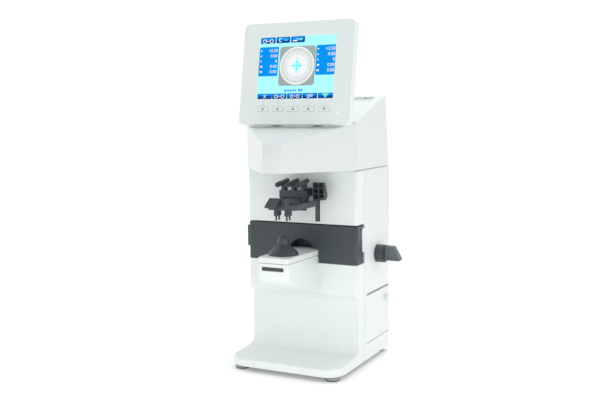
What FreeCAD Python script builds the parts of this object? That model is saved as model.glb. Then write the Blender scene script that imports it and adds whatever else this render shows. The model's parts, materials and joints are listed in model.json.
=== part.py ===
import FreeCAD, Part
import math
import os
import Sketcher

# A desk-top automatic lensmeter: a column on a broad foot, a head that overhangs the lens,
# a nose that holds the measuring optics, a sliding lens table with its side lever,
# a lens holder, a swing-down marker, a folding display and a paper printer in the side.
# Millimetres and degrees. Left and right are the viewer's, the front faces -Y, up is +Z.
# Every place below is measured from the column: x from its middle plane, y from its front
# face, z from the table that the feet stand on. The whole is then moved as one so that the
# origin lies under the middle of the bounding box.

SIZES = {
    # fits
    "beside": 0.3,
    "running": 0.05,
    "shadow_line": 0.6,
    "overrun": 5.0,
    # column
    "body_width": 169.4,
    "body_depth": 123.5,
    "seam_depth": 26.1,
    "wall": 3.0,
    "column_top": 276.3,
    "column_corner": 3.6,
    "rear_corner": 4.0,
    "rear_inner_clip": 1.5,
    # foot of the column
    "foot_height": 7.0,
    "foot_radius": 11.0,
    "foot_taper": 1.2,
    "foot_inset_side": 15.5,
    "foot_inset_front": 17.0,
    "foot_inset_rear": 13.5,
    "base_reach": 66.0,
    "base_thickness": 14.5,
    "base_front_thickness": 10.4,
    "base_corner": 25.0,
    "base_edge_round": 2.6,
    "bottom_sheet": 2.0,
    "recess_depth": 9.0,
    "cove_round": 15.0,
    "lip_low": 96.0,
    "lip_high": 104.5,
    "lip_round": 4.0,
    # band in which the lens table slides
    "band_low": 147.3,
    "band_high": 202.5,
    "band_panel_front": 23.3,
    "band_panel_thickness": 2.7,
    # nose
    "nose_reach": 85.0,
    "nose_front_width": 45.0,
    "nose_root_width": 51.0,
    "nose_seat": 158.0,
    "nose_root_low": 103.0,
    "nose_slope": 20.0,
    "nose_round": 22.0,
    "nose_corner": 4.0,
    "lid_thickness": 8.0,
    "lid_depth_behind": 19.0,
    "lid_lip_inset": 2.0,
    "lid_round": 1.4,
    # optical axis
    "axis_reach": 54.0,
    "skirt_radius": 20.3,
    "skirt_rim": 1.6,
    "shoulder_radius": 18.2,
    "shoulder_height": 5.0,
    "neck_radius": 8.6,
    "neck_height": 13.6,
    "dome_radius": 7.6,
    "dome_top": 25.3,
    "dome_round": 5.7,
    "dome_bore": 1.7,
    "light_path": 5.0,
    "sensor_width": 22.0,
    "sensor_depth": 24.0,
    "sensor_height": 17.0,
    "sensor_barrel": 7.0,
    "carrier_width": 24.0,
    "carrier_level": 138.0,
    "lamp_window": 13.0,
    "lamp_radius": 16.0,
    "lamp_height": 24.0,
    "lamp_lens_thickness": 1.8,
    # head
    "head_gap": 1.3,
    "head_front_top": 342.5,
    "head_rear_top": 378.0,
    "head_rear_set": 4.6,
    "head_rear_rake": 12.6,
    "head_flat_depth": 8.8,
    "head_roof": 7.0,
    "head_edge_round": 2.0,
    "prow_reach": 90.0,
    "prow_flat_width": 28.0,
    "prow_nose_set": 4.0,
    "prow_root_top": 340.9,
    "prow_slope": 15.6,
    "prow_tip_round": 30.0,
    "prow_side_round": 9.0,
    "prow_cavity_top": 309.0,
    "prow_wall": 5.0,
    "head_floor_sheet": 2.5,
    "tray_width": 145.5,
    "tray_front": 14.0,
    "tray_rear_rim": 2.7,
    "tray_depth": 3.5,
    "tray_latch_side": 57.0,
    "tray_latch_width": 3.0,
    "tray_latch_height": 1.6,
    "tray_latch_drop": 1.0,
    # inner frame
    "frame_sheet": 2.5,
    "frame_width": 152.0,
    "frame_front": 30.0,
    "frame_rear_gap": 1.5,
    "post_width": 4.0,
    "shelf_level": 112.0,
    "ledge_front": 24.0,
    "cable_hole_width": 34.0,
    "cable_hole_depth": 18.0,
    "cable_hole_at": 62.0,
    # boards and supply
    "board_width": 56.0,
    "board_left": 62.0,
    "board_low": 125.0,
    "board_height": 108.0,
    "board_thickness": 1.6,
    "board_stand": 3.0,
    "board_boss_radius": 3.0,
    "board_boss_inset": 5.0,
    "chip_size": 18.0,
    "chip_height": 2.2,
    "connector_length": 30.0,
    "connector_height": 8.0,
    "supply_left": 74.0,
    "supply_width": 60.0,
    "supply_front": 36.0,
    "supply_rear_gap": 5.0,
    "supply_height": 40.0,
    "supply_slot_width": 2.4,
    "supply_slot_length": 36.0,
    "supply_slot_pitch": 7.0,
    "supply_slot_count": 6,
    # mains inlet and switch
    "inlet_left": 60.0,
    "inlet_width": 50.0,
    "inlet_low": 24.0,
    "inlet_height": 26.0,
    "inlet_depth": 21.0,
    "inlet_flange": 1.6,
    "inlet_flange_margin": 2.5,
    "socket_width": 24.0,
    "socket_height": 16.0,
    "socket_depth": 15.0,
    "socket_margin": 4.5,
    "contact_thickness": 1.6,
    "contact_height": 4.0,
    "contact_reach": 9.0,
    "contact_pitch": 7.0,
    "contact_rise": 3.0,
    "switch_width": 13.0,
    "switch_height": 19.0,
    "switch_well_depth": 12.0,
    "switch_margin": 3.0,
    "rocker_half_height": 8.6,
    "rocker_thickness": 6.0,
    "rocker_crown": 1.0,
    "rocker_tilt": 8.0,
    "rocker_pivot_depth": 5.5,
    "rocker_pin_radius": 1.5,
    # lens table
    "table_gap_low": 0.6,
    "table_gap_high": 1.6,
    "table_depth": 22.0,
    "table_corner": 4.0,
    "table_nose_clear": 2.0,
    "table_lid_clear": 1.6,
    "arch_top": 180.0,
    "arch_half_width": 19.2,
    "arch_sleeve": 2.6,
    "table_notch_low": 163.0,
    "table_notch_high": 196.8,
    "table_notch_front_low": 18.6,
    "table_notch_front_high": 17.4,
    "table_hole_depth": 14.4,
    "table_hole_level": 194.6,
    "table_hole_radius": 1.5,
    "grip_reach": 4.6,
    "grip_low": 164.5,
    "grip_high": 194.5,
    "grip_depth": 12.0,
    "grip_round": 1.4,
    "rod_radius": 3.0,
    "rod_side": 68.0,
    "rod_level": 188.0,
    "rod_end_gap": 16.5,
    "bush_radius": 5.5,
    "bush_length": 16.0,
    "bush_block": 14.0,
    "rack_left": 56.0,
    "rack_width": 8.0,
    "rack_height": 7.0,
    "rack_rear_gap": 6.5,
    "rack_teeth_ahead": 8,
    # side lever with its pinion
    "lever_depth": 73.5,
    "lever_level": 154.0,
    "tooth_module": 1.5,
    "pinion_teeth": 20,
    "pinion_clear": 0.5,
    "lever_shaft_radius": 4.0,
    "lever_shaft_left": 44.0,
    "cheek_thickness": 7.0,
    "cheek_depth": 18.0,
    "cheek_head": 9.0,
    "hub_radius": 12.7,
    "hub_length": 12.0,
    "blade_reach": 36.5,
    "blade_top_reach": 26.4,
    "blade_top_drop": 1.2,
    "blade_low": 9.4,
    "blade_heel_reach": 15.0,
    "blade_tip_rise": 2.6,
    "blade_thickness": 8.0,
    "blade_rim": 2.2,
    "blade_hollow": 2.0,
    "blade_round": 2.2,
    # lens holder
    "slot_left": 21.8,
    "slot_right": 29.2,
    "slot_low": 205.5,
    "slot_high": 254.0,
    "rail_width": 3.7,
    "rail_depth": 5.0,
    "slider_left": 15.0,
    "slider_right": 35.0,
    "slider_depth": 12.4,
    "slider_low": 228.0,
    "slider_height": 15.0,
    "slider_clear": 0.1,
    "arm_low": 228.0,
    "arm_height": 7.5,
    "arm_left": 22.0,
    "arm_right": 28.0,
    "arm_front": 71.0,
    "arm_bar": 6.5,
    "arm_bar_left": 12.0,
    "arm_corner": 6.0,
    "arm_stand_off": 0.7,
    "neck_right": 28.3,
    "neck_left": 26.3,
    "neck_drop": 1.0,
    "pillar_left": 10.4,
    "pillar_right": 18.0,
    "pillar_height": 15.5,
    "prong_side": 8.0,
    "prong_width": 5.0,
    "prong_rear": 49.0,
    "socket_low": 218.6,
    "socket_half_depth": 6.2,
    "tab_left": 13.0,
    "tab_right": 4.0,
    "tab_reach": 81.0,
    "tab_low": 231.3,
    "tab_lip": 2.5,
    "tab_top": 243.3,
    "tab_top_reach": 67.5,
    "tab_root": 65.0,
    "pin_radius": 1.3,
    "pin_low": 212.0,
    "pin_length": 10.8,
    "pin_half_pitch": 4.2,
    # marker
    "pivot_reach": 24.0,
    "pivot_level": 227.5,
    "pivot_radius": 2.0,
    "pivot_shaft_half": 21.0,
    "lug_half_width": 12.5,
    "lug_radius": 4.6,
    "lug_rise": 11.9,
    "block_half_width": 21.0,
    "block_front": 24.5,
    "block_rear": 14.5,
    "block_low": 240.0,
    "block_high": 250.0,
    "block_round": 1.0,
    "side_arm_inner": 14.0,
    "side_arm_outer": 19.5,
    "pen_level": 261.4,
    "pen_tilt": 7.6,
    "pen_pitch": 15.3,
    "pen_radius": 3.2,
    "pen_front": 41.0,
    "pen_rear": 10.5,
    "cap_radius": 3.5,
    "cap_length": 9.0,
    "cap_round": 0.9,
    "tip_radius": 1.0,
    "tip_length": 2.0,
    "post_half_width": 2.6,
    "handle_left": 17.6,
    "handle_step": 28.9,
    "handle_right": 46.2,
    "handle_low": 238.0,
    "handle_step_high": 253.5,
    "handle_high": 262.0,
    "handle_rear": 10.7,
    "handle_front": 22.0,
    "handle_top_depth": 4.2,
    "handle_bevel": 4.5,
    "cell_rib": 1.3,
    "cell_floor": 1.6,
    # display
    "display_tilt": 9.8,
    "display_reach": 10.4,
    "display_foot_gap": 0.4,
    "display_width": 168.0,
    "display_above": 63.0,
    "display_below": 78.2,
    "display_corner": 6.5,
    "bezel_proud": 1.2,
    "bezel_depth": 5.0,
    "display_back_depth": 13.0,
    "display_wall": 2.2,
    "screen_width": 117.0,
    "screen_height": 86.4,
    "screen_thickness": 3.0,
    "screen_rim": 4.0,
    "key_count": 5,
    "key_pitch": 23.5,
    "key_width": 16.4,
    "key_height": 6.2,
    "key_below": 57.3,
    "key_proud": 0.6,
    "key_depth": 4.6,
    "key_travel": 0.8,
    "key_corner": 0.8,
    "indicator_right": 66.3,
    "indicator_below": 62.1,
    "indicator_radius": 1.5,
    "display_board_thickness": 1.6,
    "hinge_reach": 7.0,
    "hinge_level": 342.5,
    "hinge_pin_radius": 1.5,
    "hinge_lug_in": 24.0,
    "hinge_lug_out": 32.0,
    "hinge_lug_radius": 3.0,
    "hinge_ear_width": 5.0,
    "hinge_ear_front": 2.9,
    "hinge_ear_rear": 6.0,
    # printer in the right-hand side
    "door_front": 34.4,
    "door_rear_rim": 5.7,
    "door_low": 29.8,
    "door_high": 101.6,
    "door_play": 0.4,
    "paper_slot": 3.0,
    "door_thickness": 2.6,
    "door_pin_radius": 0.8,
    "door_pin_in": 1.5,
    "door_pin_up": 2.1,
    "door_pin_hold": 2.0,
    "door_bevel": 0.9,
    "knob_inset": 10.8,
    "knob_level": 83.4,
    "knob_radius": 4.6,
    "knob_proud": 5.5,
    "knob_stem_radius": 1.6,
    "knob_bar_thickness": 1.8,
    "knob_bar_width": 3.0,
    "knob_bar_hold": 1.0,
    "printer_left": 24.0,
    "printer_wall": 2.0,
    "printer_clear": 5.7,
    "printer_front": 36.0,
    "printer_rear_gap": 0.5,
    "printer_low": 34.0,
    "printer_high": 102.0,
    "printer_leg": 6.0,
    "roll_radius": 19.0,
    "roll_side_gap": 9.25,
    "roll_core": 6.0,
    "roll_at": 48.0,
    "roll_level": 56.0,
    "journal_radius": 3.0,
    "platen_radius": 5.0,
    "platen_inset": 3.9,
    "platen_level": 88.0,
    "platen_shaft_radius": 2.0,
    "thermal_width": 9.0,
    "thermal_height": 14.0,
    # button on the nose
    "button_half_width": 15.8,
    "button_low": 148.5,
    "button_height": 4.4,
    "button_proud": 0.7,
    "button_depth": 6.0,
    # rear vents and screws
    "vent_count": 9,
    "vent_pitch": 6.5,
    "vent_height": 2.6,
    "vent_half_width": 42.0,
    "vent_low": 180.0,
    "screw_head_radius": 3.0,
    "screw_head_height": 1.6,
    "screw_radius": 1.5,
    "screw_side": 68.0,
    "screw_level_low": 66.0,
    "screw_level_high": 252.0,
}

doc = FreeCAD.newDocument("lensmeter")
sheet = doc.addObject("Spreadsheet::Sheet", "Sizes")


class Size:
    """A number together with the sheet formula that it comes from."""

    def __init__(self, value, formula):
        self.value = float(value)
        self.formula = formula

    def __add__(self, other):
        other = as_size(other)
        return Size(self.value + other.value, f"({self.formula} + {other.formula})")

    def __sub__(self, other):
        other = as_size(other)
        return Size(self.value - other.value, f"({self.formula} - {other.formula})")

    def __mul__(self, other):
        other = as_size(other)
        return Size(self.value * other.value, f"({self.formula} * {other.formula})")

    def __truediv__(self, other):
        other = as_size(other)
        return Size(self.value / other.value, f"({self.formula} / {other.formula})")

    def __neg__(self):
        return Size(-self.value, f"(0 - {self.formula})")

    def __radd__(self, other):
        return as_size(other) + self

    def __rsub__(self, other):
        return as_size(other) - self

    def __rmul__(self, other):
        return as_size(other) * self


class Named:
    """Holds each named size as an attribute."""


def as_size(number):
    if isinstance(number, Size):
        return number
    return Size(number, f"({number})")


def sine(angle):
    return Size(math.sin(math.radians(angle.value)), f"sin({angle.formula} * 1 deg)")


def cosine(angle):
    return Size(math.cos(math.radians(angle.value)), f"cos({angle.formula} * 1 deg)")


def tangent(angle):
    return sine(angle) / cosine(angle)


def whole(number):
    """The whole number at or below a number."""
    return Size(math.floor(number.value), f"floor({number.formula})")


s = Named()
for row, (alias, number) in enumerate(SIZES.items(), start=1):
    sheet.set(f"A{row}", alias.replace("_", " "))
    sheet.set(f"B{row}", str(number))
    sheet.setAlias(f"B{row}", alias)
    setattr(s, alias, Size(number, f"Sizes.{alias}"))
doc.recompute()

# Levels and planes that several pieces share.
half = s.body_width / 2
base_top = s.foot_height + s.base_thickness
floor_top = s.foot_height + s.bottom_sheet
base_front_top = s.foot_height + s.base_front_thickness
head_low = s.column_top + s.head_gap
head_rear_foot = s.body_depth - s.head_rear_set
head_flat = head_rear_foot - s.head_rear_rake
head_rise = head_flat - s.head_flat_depth
tray_rear = head_rise - s.tray_rear_rim
head_slope = (s.head_rear_top - s.head_front_top) / head_rise
lid_top = s.nose_seat + s.lid_thickness
rear_front = s.seam_depth + s.shadow_line
inner_rear = s.body_depth - s.wall
frame_rear = inner_rear - s.frame_rear_gap
frame_inner = frame_rear - s.frame_sheet
inlet_front = s.body_depth - s.inlet_depth
door_rear = s.body_depth - s.door_rear_rim
knob_at = door_rear - s.knob_inset
printer_rear = frame_inner - s.printer_rear_gap
printer_right = half - s.printer_clear
roll_width = printer_rear - s.printer_front - (s.printer_wall + s.roll_side_gap) * 2
platen_at = printer_right - s.platen_inset
rack_rear = frame_inner - s.rack_rear_gap
pinion_radius = s.tooth_module * s.pinion_teeth / 2
blade_tip = half + s.shadow_line + s.blade_reach
mid_x = (blade_tip - half - s.grip_reach) / 2
mid_y = (s.body_depth + s.inlet_flange - s.prow_reach) / 2
subparts = []


def bind(thing, path, size):
    """Ties a property to the sheet; a plain zero stays as it is."""
    if isinstance(size, Size):
        thing.setExpression(path, size.formula)


def place(thing, x, y, z):
    bind(thing, "Placement.Base.x", as_size(x))
    bind(thing, "Placement.Base.y", as_size(y))
    bind(thing, "Placement.Base.z", as_size(z))


def publish(thing, name, x=0, y=0, z=0, tilt=None):
    """Names a sub-part and moves it, from its place beside the column, with the whole object."""
    thing.Label = name
    if tilt is not None:
        thing.Placement = FreeCAD.Placement(FreeCAD.Vector(), FreeCAD.Rotation(FreeCAD.Vector(1, 0, 0), 1))
        bind(thing, "Placement.Rotation.Angle", tilt)
    place(thing, as_size(x) - mid_x, as_size(y) - mid_y, as_size(z))
    subparts.append(thing)
    return thing


# Solids from primitives. A span is a (low, high) pair along an axis.

def both(size):
    return (-size, size)


def box(name, x, y, z):
    solid = doc.addObject("Part::Box", name)
    bind(solid, "Length", as_size(x[1]) - x[0])
    bind(solid, "Width", as_size(y[1]) - y[0])
    bind(solid, "Height", as_size(z[1]) - z[0])
    place(solid, x[0], y[0], z[0])
    return solid


TURNS = {
    "x": FreeCAD.Rotation(FreeCAD.Vector(0, 1, 0), 90),
    "y": FreeCAD.Rotation(FreeCAD.Vector(1, 0, 0), -90),
    "z": FreeCAD.Rotation(),
}


def rod(name, along, span, first, second, radius):
    """Cylinder along x, y or z; first and second are its other two places, in X, Y, Z order."""
    solid = doc.addObject("Part::Cylinder", name)
    solid.Placement = FreeCAD.Placement(FreeCAD.Vector(), TURNS[along])
    bind(solid, "Radius", radius)
    bind(solid, "Height", as_size(span[1]) - span[0])
    spots = {"x": (span[0], first, second), "y": (first, span[0], second), "z": (first, second, span[0])}
    place(solid, *spots[along])
    return solid


def ball(name, x, y, z, radius):
    solid = doc.addObject("Part::Sphere", name)
    bind(solid, "Radius", radius)
    place(solid, x, y, z)
    return solid


def fuse(name, parts):
    joined = doc.addObject("Part::MultiFuse", name)
    joined.Shapes = parts
    joined.Refine = True
    return joined


def group(name, parts):
    loose = doc.addObject("Part::Compound", name)
    loose.Links = parts
    return loose


def cut(name, base, tools):
    result = doc.addObject("Part::Cut", name)
    result.Base = base
    result.Tool = tools[0] if len(tools) == 1 else fuse(f"{name}_tools", tools)
    result.Refine = True
    return result


# Solids from sketches. A profile is a list of points, or a disc; it lies square to the axis
# that is named and runs along it over a span.

PLANES = {"x": "YZ_Plane", "y": "XZ_Plane", "z": "XY_Plane"}


class Disc:
    def __init__(self, first, second, radius):
        self.first = as_size(first)
        self.second = as_size(second)
        self.radius = radius


def new_body(name):
    return doc.addObject("PartDesign::Body", name)


def origin_feature(body, role):
    return next(item for item in body.Origin.OriginFeatures if item.Role == role)


def fix_point(sketch, geometry, corner, first, second):
    for kind, size, axis in (("DistanceX", first, -2), ("DistanceY", second, -1)):
        if isinstance(size, Size):
            index = sketch.addConstraint(Sketcher.Constraint(kind, -1, 1, geometry, corner, size.value))
            sketch.setExpression(f"Constraints[{index}]", size.formula)
        else:
            sketch.addConstraint(Sketcher.Constraint("PointOnObject", geometry, corner, axis))


def draw_points(sketch, points):
    count = len(points)
    spots = [FreeCAD.Vector(as_size(first).value, as_size(second).value, 0) for first, second in points]
    for index in range(count):
        sketch.addGeometry(Part.LineSegment(spots[index], spots[(index + 1) % count]))
    for index in range(count):
        following = (index + 1) % count
        sketch.addConstraint(Sketcher.Constraint("Coincident", index, 2, following, 1))
    for index, (first, second) in enumerate(points):
        fix_point(sketch, index, 1, first, second)


def draw_disc(sketch, disc):
    centre = FreeCAD.Vector(disc.first.value, disc.second.value, 0)
    sketch.addGeometry(Part.Circle(centre, FreeCAD.Vector(0, 0, 1), disc.radius.value))
    fix_point(sketch, 0, 3, disc.first, disc.second)
    index = sketch.addConstraint(Sketcher.Constraint("Radius", 0, disc.radius.value))
    sketch.setExpression(f"Constraints[{index}]", disc.radius.formula)


def sketch_on(body, axis, level, profile):
    sketch = body.newObject("Sketcher::SketchObject", f"{body.Name}_profile")
    sketch.AttachmentSupport = [(origin_feature(body, PLANES[axis]), "")]
    sketch.MapMode = "FlatFace"
    level = as_size(level)
    bind(sketch, "AttachmentOffset.Base.z", -level if axis == "y" else level)
    if isinstance(profile, Disc):
        draw_disc(sketch, profile)
    else:
        draw_points(sketch, profile)
    return sketch


def add(body, axis, span, profile):
    """Pads a profile along an axis over a span."""
    feature = body.newObject("PartDesign::Pad", f"{body.Name}_pad")
    feature.Profile = sketch_on(body, axis, span[0], profile)
    feature.Reversed = axis == "y"
    bind(feature, "Length", as_size(span[1]) - span[0])
    doc.recompute()
    return feature


def remove(body, axis, span, profile):
    """Pockets a profile along an axis over a span, and sees that it took something away."""
    before = body.Shape.Volume
    feature = body.newObject("PartDesign::Pocket", f"{body.Name}_pocket")
    feature.Profile = sketch_on(body, axis, span[0], profile)
    feature.Reversed = axis != "y"
    bind(feature, "Length", as_size(span[1]) - span[0])
    doc.recompute()
    if not body.Shape.Volume < before:
        raise RuntimeError(f"{feature.Label} cuts nothing")
    return feature


def spin(body, profile):
    """Turns a profile of (radius, height) points about the body's upright axis."""
    sketch = sketch_on(body, "y", 0, profile)
    feature = body.newObject("PartDesign::Revolution", f"{body.Name}_turned")
    feature.Profile = sketch
    feature.ReferenceAxis = (sketch, ["V_Axis"])
    feature.Angle = 360
    doc.recompute()
    return feature


def rectangle(first, second):
    return [(first[0], second[0]), (first[1], second[0]), (first[1], second[1]), (first[0], second[1])]


def clipped_rectangle(first, second, clip):
    """Rectangle whose two corners at the low end of the second axis are cut off."""
    low = second[0] + clip
    return [(first[0] + clip, second[0]), (first[1] - clip, second[0]), (first[1], low),
            (first[1], second[1]), (first[0], second[1]), (first[0], low)]


def edges_at(shape, along, spots):
    """Names of the straight edges along an axis whose ends lie at the given places."""
    near = 0.01
    names = []
    for index, edge in enumerate(shape.Edges, start=1):
        ends = [vertex.Point for vertex in edge.Vertexes]
        if len(ends) != 2 or edge.Curve.TypeId != "Part::GeomLine":
            continue
        run = (ends[1] - ends[0]).normalize()
        if abs(getattr(run, along)) < 1 - near:
            continue
        if all(any(all(abs(getattr(end, axis) - as_size(value).value) < near for end in ends)
                   for value in values) for axis, values in spots.items()):
            names.append(f"Edge{index}")
    return names


def round_edges(body, radius, along, **spots):
    """Rounds the edges along an axis that lie at the given places."""
    tip = body.Tip
    names = edges_at(tip.Shape, along, spots)
    if not names:
        raise RuntimeError(f"{body.Name} has no edge along {along} there")
    feature = body.newObject("PartDesign::Fillet", f"{body.Name}_round")
    feature.Base = (tip, names)
    bind(feature, "Radius", radius)
    doc.recompute()
    if "Invalid" in feature.State:
        raise RuntimeError(f"{feature.Label} does not compute")
    return feature


def repeat(body, kind, original, direction, count):
    feature = body.newObject(kind, f"{body.Name}_pattern")
    feature.Originals = [original]
    if kind == "PartDesign::PolarPattern":
        feature.Axis = direction
        feature.Angle = 360
    else:
        feature.Direction = direction
    bind(feature, "Occurrences", count)
    body.Tip = feature
    return feature


# Covers and the foot of the column.

def nose_under(y):
    """Height of the nose's sloping underside at a place in front of the column."""
    return s.nose_root_low - y * tangent(s.nose_slope)


def nose_half(y):
    """Half width of the nose at a place."""
    taper = (s.nose_root_width - s.nose_front_width) / 2 / s.nose_reach
    return s.nose_root_width / 2 + y * taper


def nose_plan(rear, inset):
    """Plan of the nose, drawn in from its sides by an inset, as far back as rear."""
    front = s.nose_front_width / 2 - inset
    back = nose_half(rear) - inset
    face = inset - s.nose_reach
    return [(-front, face), (front, face), (back, rear), (-back, rear)]


def foot_slope(y):
    """Height of the foot's sloping top at a place."""
    fall = (base_top - base_front_top) / (s.base_reach + s.recess_depth)
    return base_top + (y - s.recess_depth) * fall


def slope_off(body, width, rear, lower):
    """Takes off what stands above the foot's sloping top, lowered by an amount."""
    far = -s.base_reach - s.overrun
    over = base_top + s.overrun
    remove(body, "x", both(width), [(rear, foot_slope(rear) - lower), (rear, over), (far, over),
                                    (far, foot_slope(far) - lower)])


def make_front_shell():
    """Foot and lower front of the column, solid, with the recess that the lens hangs over."""
    body = new_body("front_shell")
    add(body, "z", (s.foot_height, base_top), rectangle(both(half), (-s.base_reach, s.seam_depth)))
    round_edges(body, s.base_corner, "z", y=[-s.base_reach])
    slope_off(body, half + s.overrun, s.recess_depth, 0)
    add(body, "z", (s.foot_height, s.band_low), rectangle(both(half), (0, s.seam_depth)))
    recess = [(-s.overrun, foot_slope(-s.overrun)), (s.recess_depth, base_top), (s.recess_depth, s.lip_low),
              (0, s.lip_high), (-s.overrun, s.lip_high)]
    remove(body, "x", both(half + s.overrun), recess)
    round_edges(body, s.cove_round, "x", y=[s.recess_depth], z=[base_top])
    round_edges(body, s.lip_round, "x", y=[s.recess_depth], z=[s.lip_low])
    round_edges(body, s.column_corner, "z", y=[0], x=both(half))
    round_edges(body, s.base_edge_round, "x", y=[-s.base_reach], z=[base_front_top])
    return body


def make_nose_shell():
    """Nose as the meeting of its plan and of its side view."""
    top_view = new_body("nose_top_view")
    add(top_view, "z", (s.lip_low, s.nose_seat), nose_plan(s.seam_depth, 0))
    round_edges(top_view, s.nose_corner, "z", y=[-s.nose_reach])
    side_view = new_body("nose_side_view")
    low = nose_under(-s.nose_reach)
    add(side_view, "x", both(s.nose_root_width),
        [(-s.nose_reach, s.nose_seat), (-s.nose_reach, low), (0, s.nose_root_low),
         (s.seam_depth, s.nose_root_low), (s.seam_depth, s.nose_seat)])
    round_edges(side_view, s.nose_round, "x", y=[-s.nose_reach], z=[low])
    shell = doc.addObject("Part::Common", "nose_shell")
    shell.Base = top_view
    shell.Tool = side_view
    return shell


def make_lower_cover():
    inner = half - s.wall
    behind = s.seam_depth + s.overrun
    column = box("column_hollow", both(inner), (s.recess_depth + s.wall, behind),
                 (base_top - s.wall * 2, s.band_low - s.wall))
    foot = new_body("foot_hollow")
    add(foot, "z", (s.foot_height - s.overrun, base_top - s.wall),
        clipped_rectangle(both(inner), (s.wall - s.base_reach, behind), s.base_corner - s.wall))
    slope_off(foot, half, behind, s.wall)
    middle = s.nose_reach - s.nose_round
    turn = s.nose_round - s.wall
    centre = nose_under(-middle) + s.nose_round / cosine(s.nose_slope)
    root = s.nose_root_low + s.wall / cosine(s.nose_slope)
    over = s.nose_seat + s.overrun
    nose = new_body("nose_hollow")
    add(nose, "x", both(s.nose_front_width / 2 - s.wall),
        [(s.wall - s.nose_reach, over), (s.wall - s.nose_reach, centre),
         (-middle - turn * sine(s.nose_slope), centre - turn * cosine(s.nose_slope)),
         (0, root), (behind, root), (behind, over)])
    button = box("button_gate", both(s.button_half_width + s.beside),
                 (-s.nose_reach - s.overrun, s.button_depth + s.beside * 2 - s.nose_reach),
                 (s.button_low - s.beside, s.button_low + s.button_height + s.beside))
    solid = fuse("lower_solid", [make_front_shell(), make_nose_shell()])
    publish(cut("lower_cover", solid, [column, foot, nose, button]), "lower_cover")


def make_upper_cover():
    body = new_body("upper_cover")
    add(body, "z", (s.band_high, s.column_top), rectangle(both(half), (0, s.seam_depth)))
    round_edges(body, s.column_corner, "z", y=[0])
    floor = s.slot_low - s.band_high - s.beside
    remove(body, "z", (s.band_high + floor, s.column_top + s.overrun),
           rectangle(both(half - s.wall), (s.wall, s.seam_depth + s.overrun)))
    remove(body, "y", (-s.overrun, s.wall + s.beside),
           rectangle((s.slot_left, s.slot_right), (s.slot_low, s.slot_high)))
    tongue = half - s.column_corner
    add(body, "z", (s.column_top, head_low - s.beside), rectangle(both(tongue), (s.shadow_line, s.wall)))
    publish(body, "upper_cover")


def make_rear_cover():
    body = new_body("rear_cover")
    add(body, "z", (s.foot_height, s.column_top), rectangle(both(half), (rear_front, s.body_depth)))
    round_edges(body, s.rear_corner, "z", y=[s.body_depth])
    remove(body, "z", (s.foot_height - s.overrun, s.column_top + s.overrun),
           clipped_rear(both(half - s.wall), (rear_front - s.overrun, inner_rear), s.rear_inner_clip))
    side = (half - s.wall - s.overrun, half + s.overrun)
    remove(body, "x", side, rectangle((s.door_front, door_rear), (s.door_low, s.door_high)))
    remove(body, "y", (s.door_front - s.door_pin_hold, door_rear + s.door_pin_hold),
           Disc(half - s.door_pin_in, s.door_low + s.door_pin_up, s.door_pin_radius + s.running))
    remove(body, "x", side, Disc(s.lever_depth, s.lever_level, s.lever_shaft_radius + s.beside))
    remove(body, "y", (inner_rear - s.overrun, s.body_depth + s.overrun),
           rectangle((-s.inlet_left - s.beside, s.inlet_width - s.inlet_left + s.beside),
                     (s.inlet_low - s.beside, s.inlet_low + s.inlet_height + s.beside)))
    for side_x in both(s.screw_side):
        for level in (s.screw_level_low, s.screw_level_high):
            remove(body, "y", (inner_rear - s.overrun, s.body_depth + s.overrun),
                   Disc(side_x, level, s.screw_radius + s.running))
    vent = remove(body, "y", (inner_rear - s.overrun, s.body_depth + s.overrun),
                  rectangle(both(s.vent_half_width), (s.vent_low, s.vent_low + s.vent_height)))
    pattern = repeat(body, "PartDesign::LinearPattern", vent, (origin_feature(body, "Z_Axis"), [""]),
                     s.vent_count)
    bind(pattern, "Length", s.vent_pitch * (s.vent_count - 1))
    doc.recompute()
    # tongue that closes the side behind the notch in the table's end
    add(body, "x", (half - s.wall + s.beside, half),
        [(s.table_notch_front_low + s.shadow_line, s.table_notch_low + s.shadow_line),
         (rear_front + s.wall, s.table_notch_low + s.shadow_line),
         (rear_front + s.wall, s.table_notch_high - s.shadow_line),
         (s.table_notch_front_high + s.shadow_line * 2, s.table_notch_high - s.shadow_line)])
    publish(body, "rear_cover")


def clipped_rear(first, second, clip):
    """Rectangle whose two corners at the high end of the second axis are cut off."""
    high = second[1] - clip
    return [(first[0], second[0]), (first[1], second[0]), (first[1], high),
            (first[1] - clip, second[1]), (first[0] + clip, second[1]), (first[0], high)]


def make_bottom_plate():
    body = new_body("bottom_plate")
    side = half - s.wall - s.beside
    clip = s.base_corner - s.wall
    rear_clip = s.rear_corner - s.wall
    front = s.wall + s.beside - s.base_reach
    rear = inner_rear - s.beside
    plan = [(clip - side, front), (side - clip, front), (side, front + clip), (side, rear - rear_clip),
            (side - rear_clip, rear), (rear_clip - side, rear), (-side, rear - rear_clip),
            (-side, front + clip)]
    add(body, "z", (s.foot_height, floor_top), plan)
    publish(body, "bottom_plate")


def make_feet():
    feet = []
    for side_x in both(half - s.foot_inset_side):
        for y in (s.foot_inset_front - s.base_reach, s.body_depth - s.foot_inset_rear):
            foot = doc.addObject("Part::Cone", "foot")
            bind(foot, "Radius1", s.foot_radius - s.foot_taper)
            bind(foot, "Radius2", s.foot_radius)
            bind(foot, "Height", s.foot_height)
            place(foot, side_x, y, 0)
            feet.append(foot)
    publish(group("feet", feet), "feet")


def make_nose_lid():
    body = new_body("nose_lid")
    seam = s.nose_seat + s.shadow_line
    add(body, "z", (seam, lid_top), nose_plan(s.lid_depth_behind, 0))
    round_edges(body, s.nose_corner, "z", y=[-s.nose_reach])
    round_edges(body, s.lid_round, "x", y=[-s.nose_reach], z=[lid_top])
    add(body, "z", (s.nose_seat, seam), nose_plan(s.lid_depth_behind, s.lid_lip_inset))
    remove(body, "z", (s.nose_seat - s.overrun, lid_top + s.overrun),
           Disc(0, -s.axis_reach, s.light_path))
    publish(body, "nose_lid")


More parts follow.
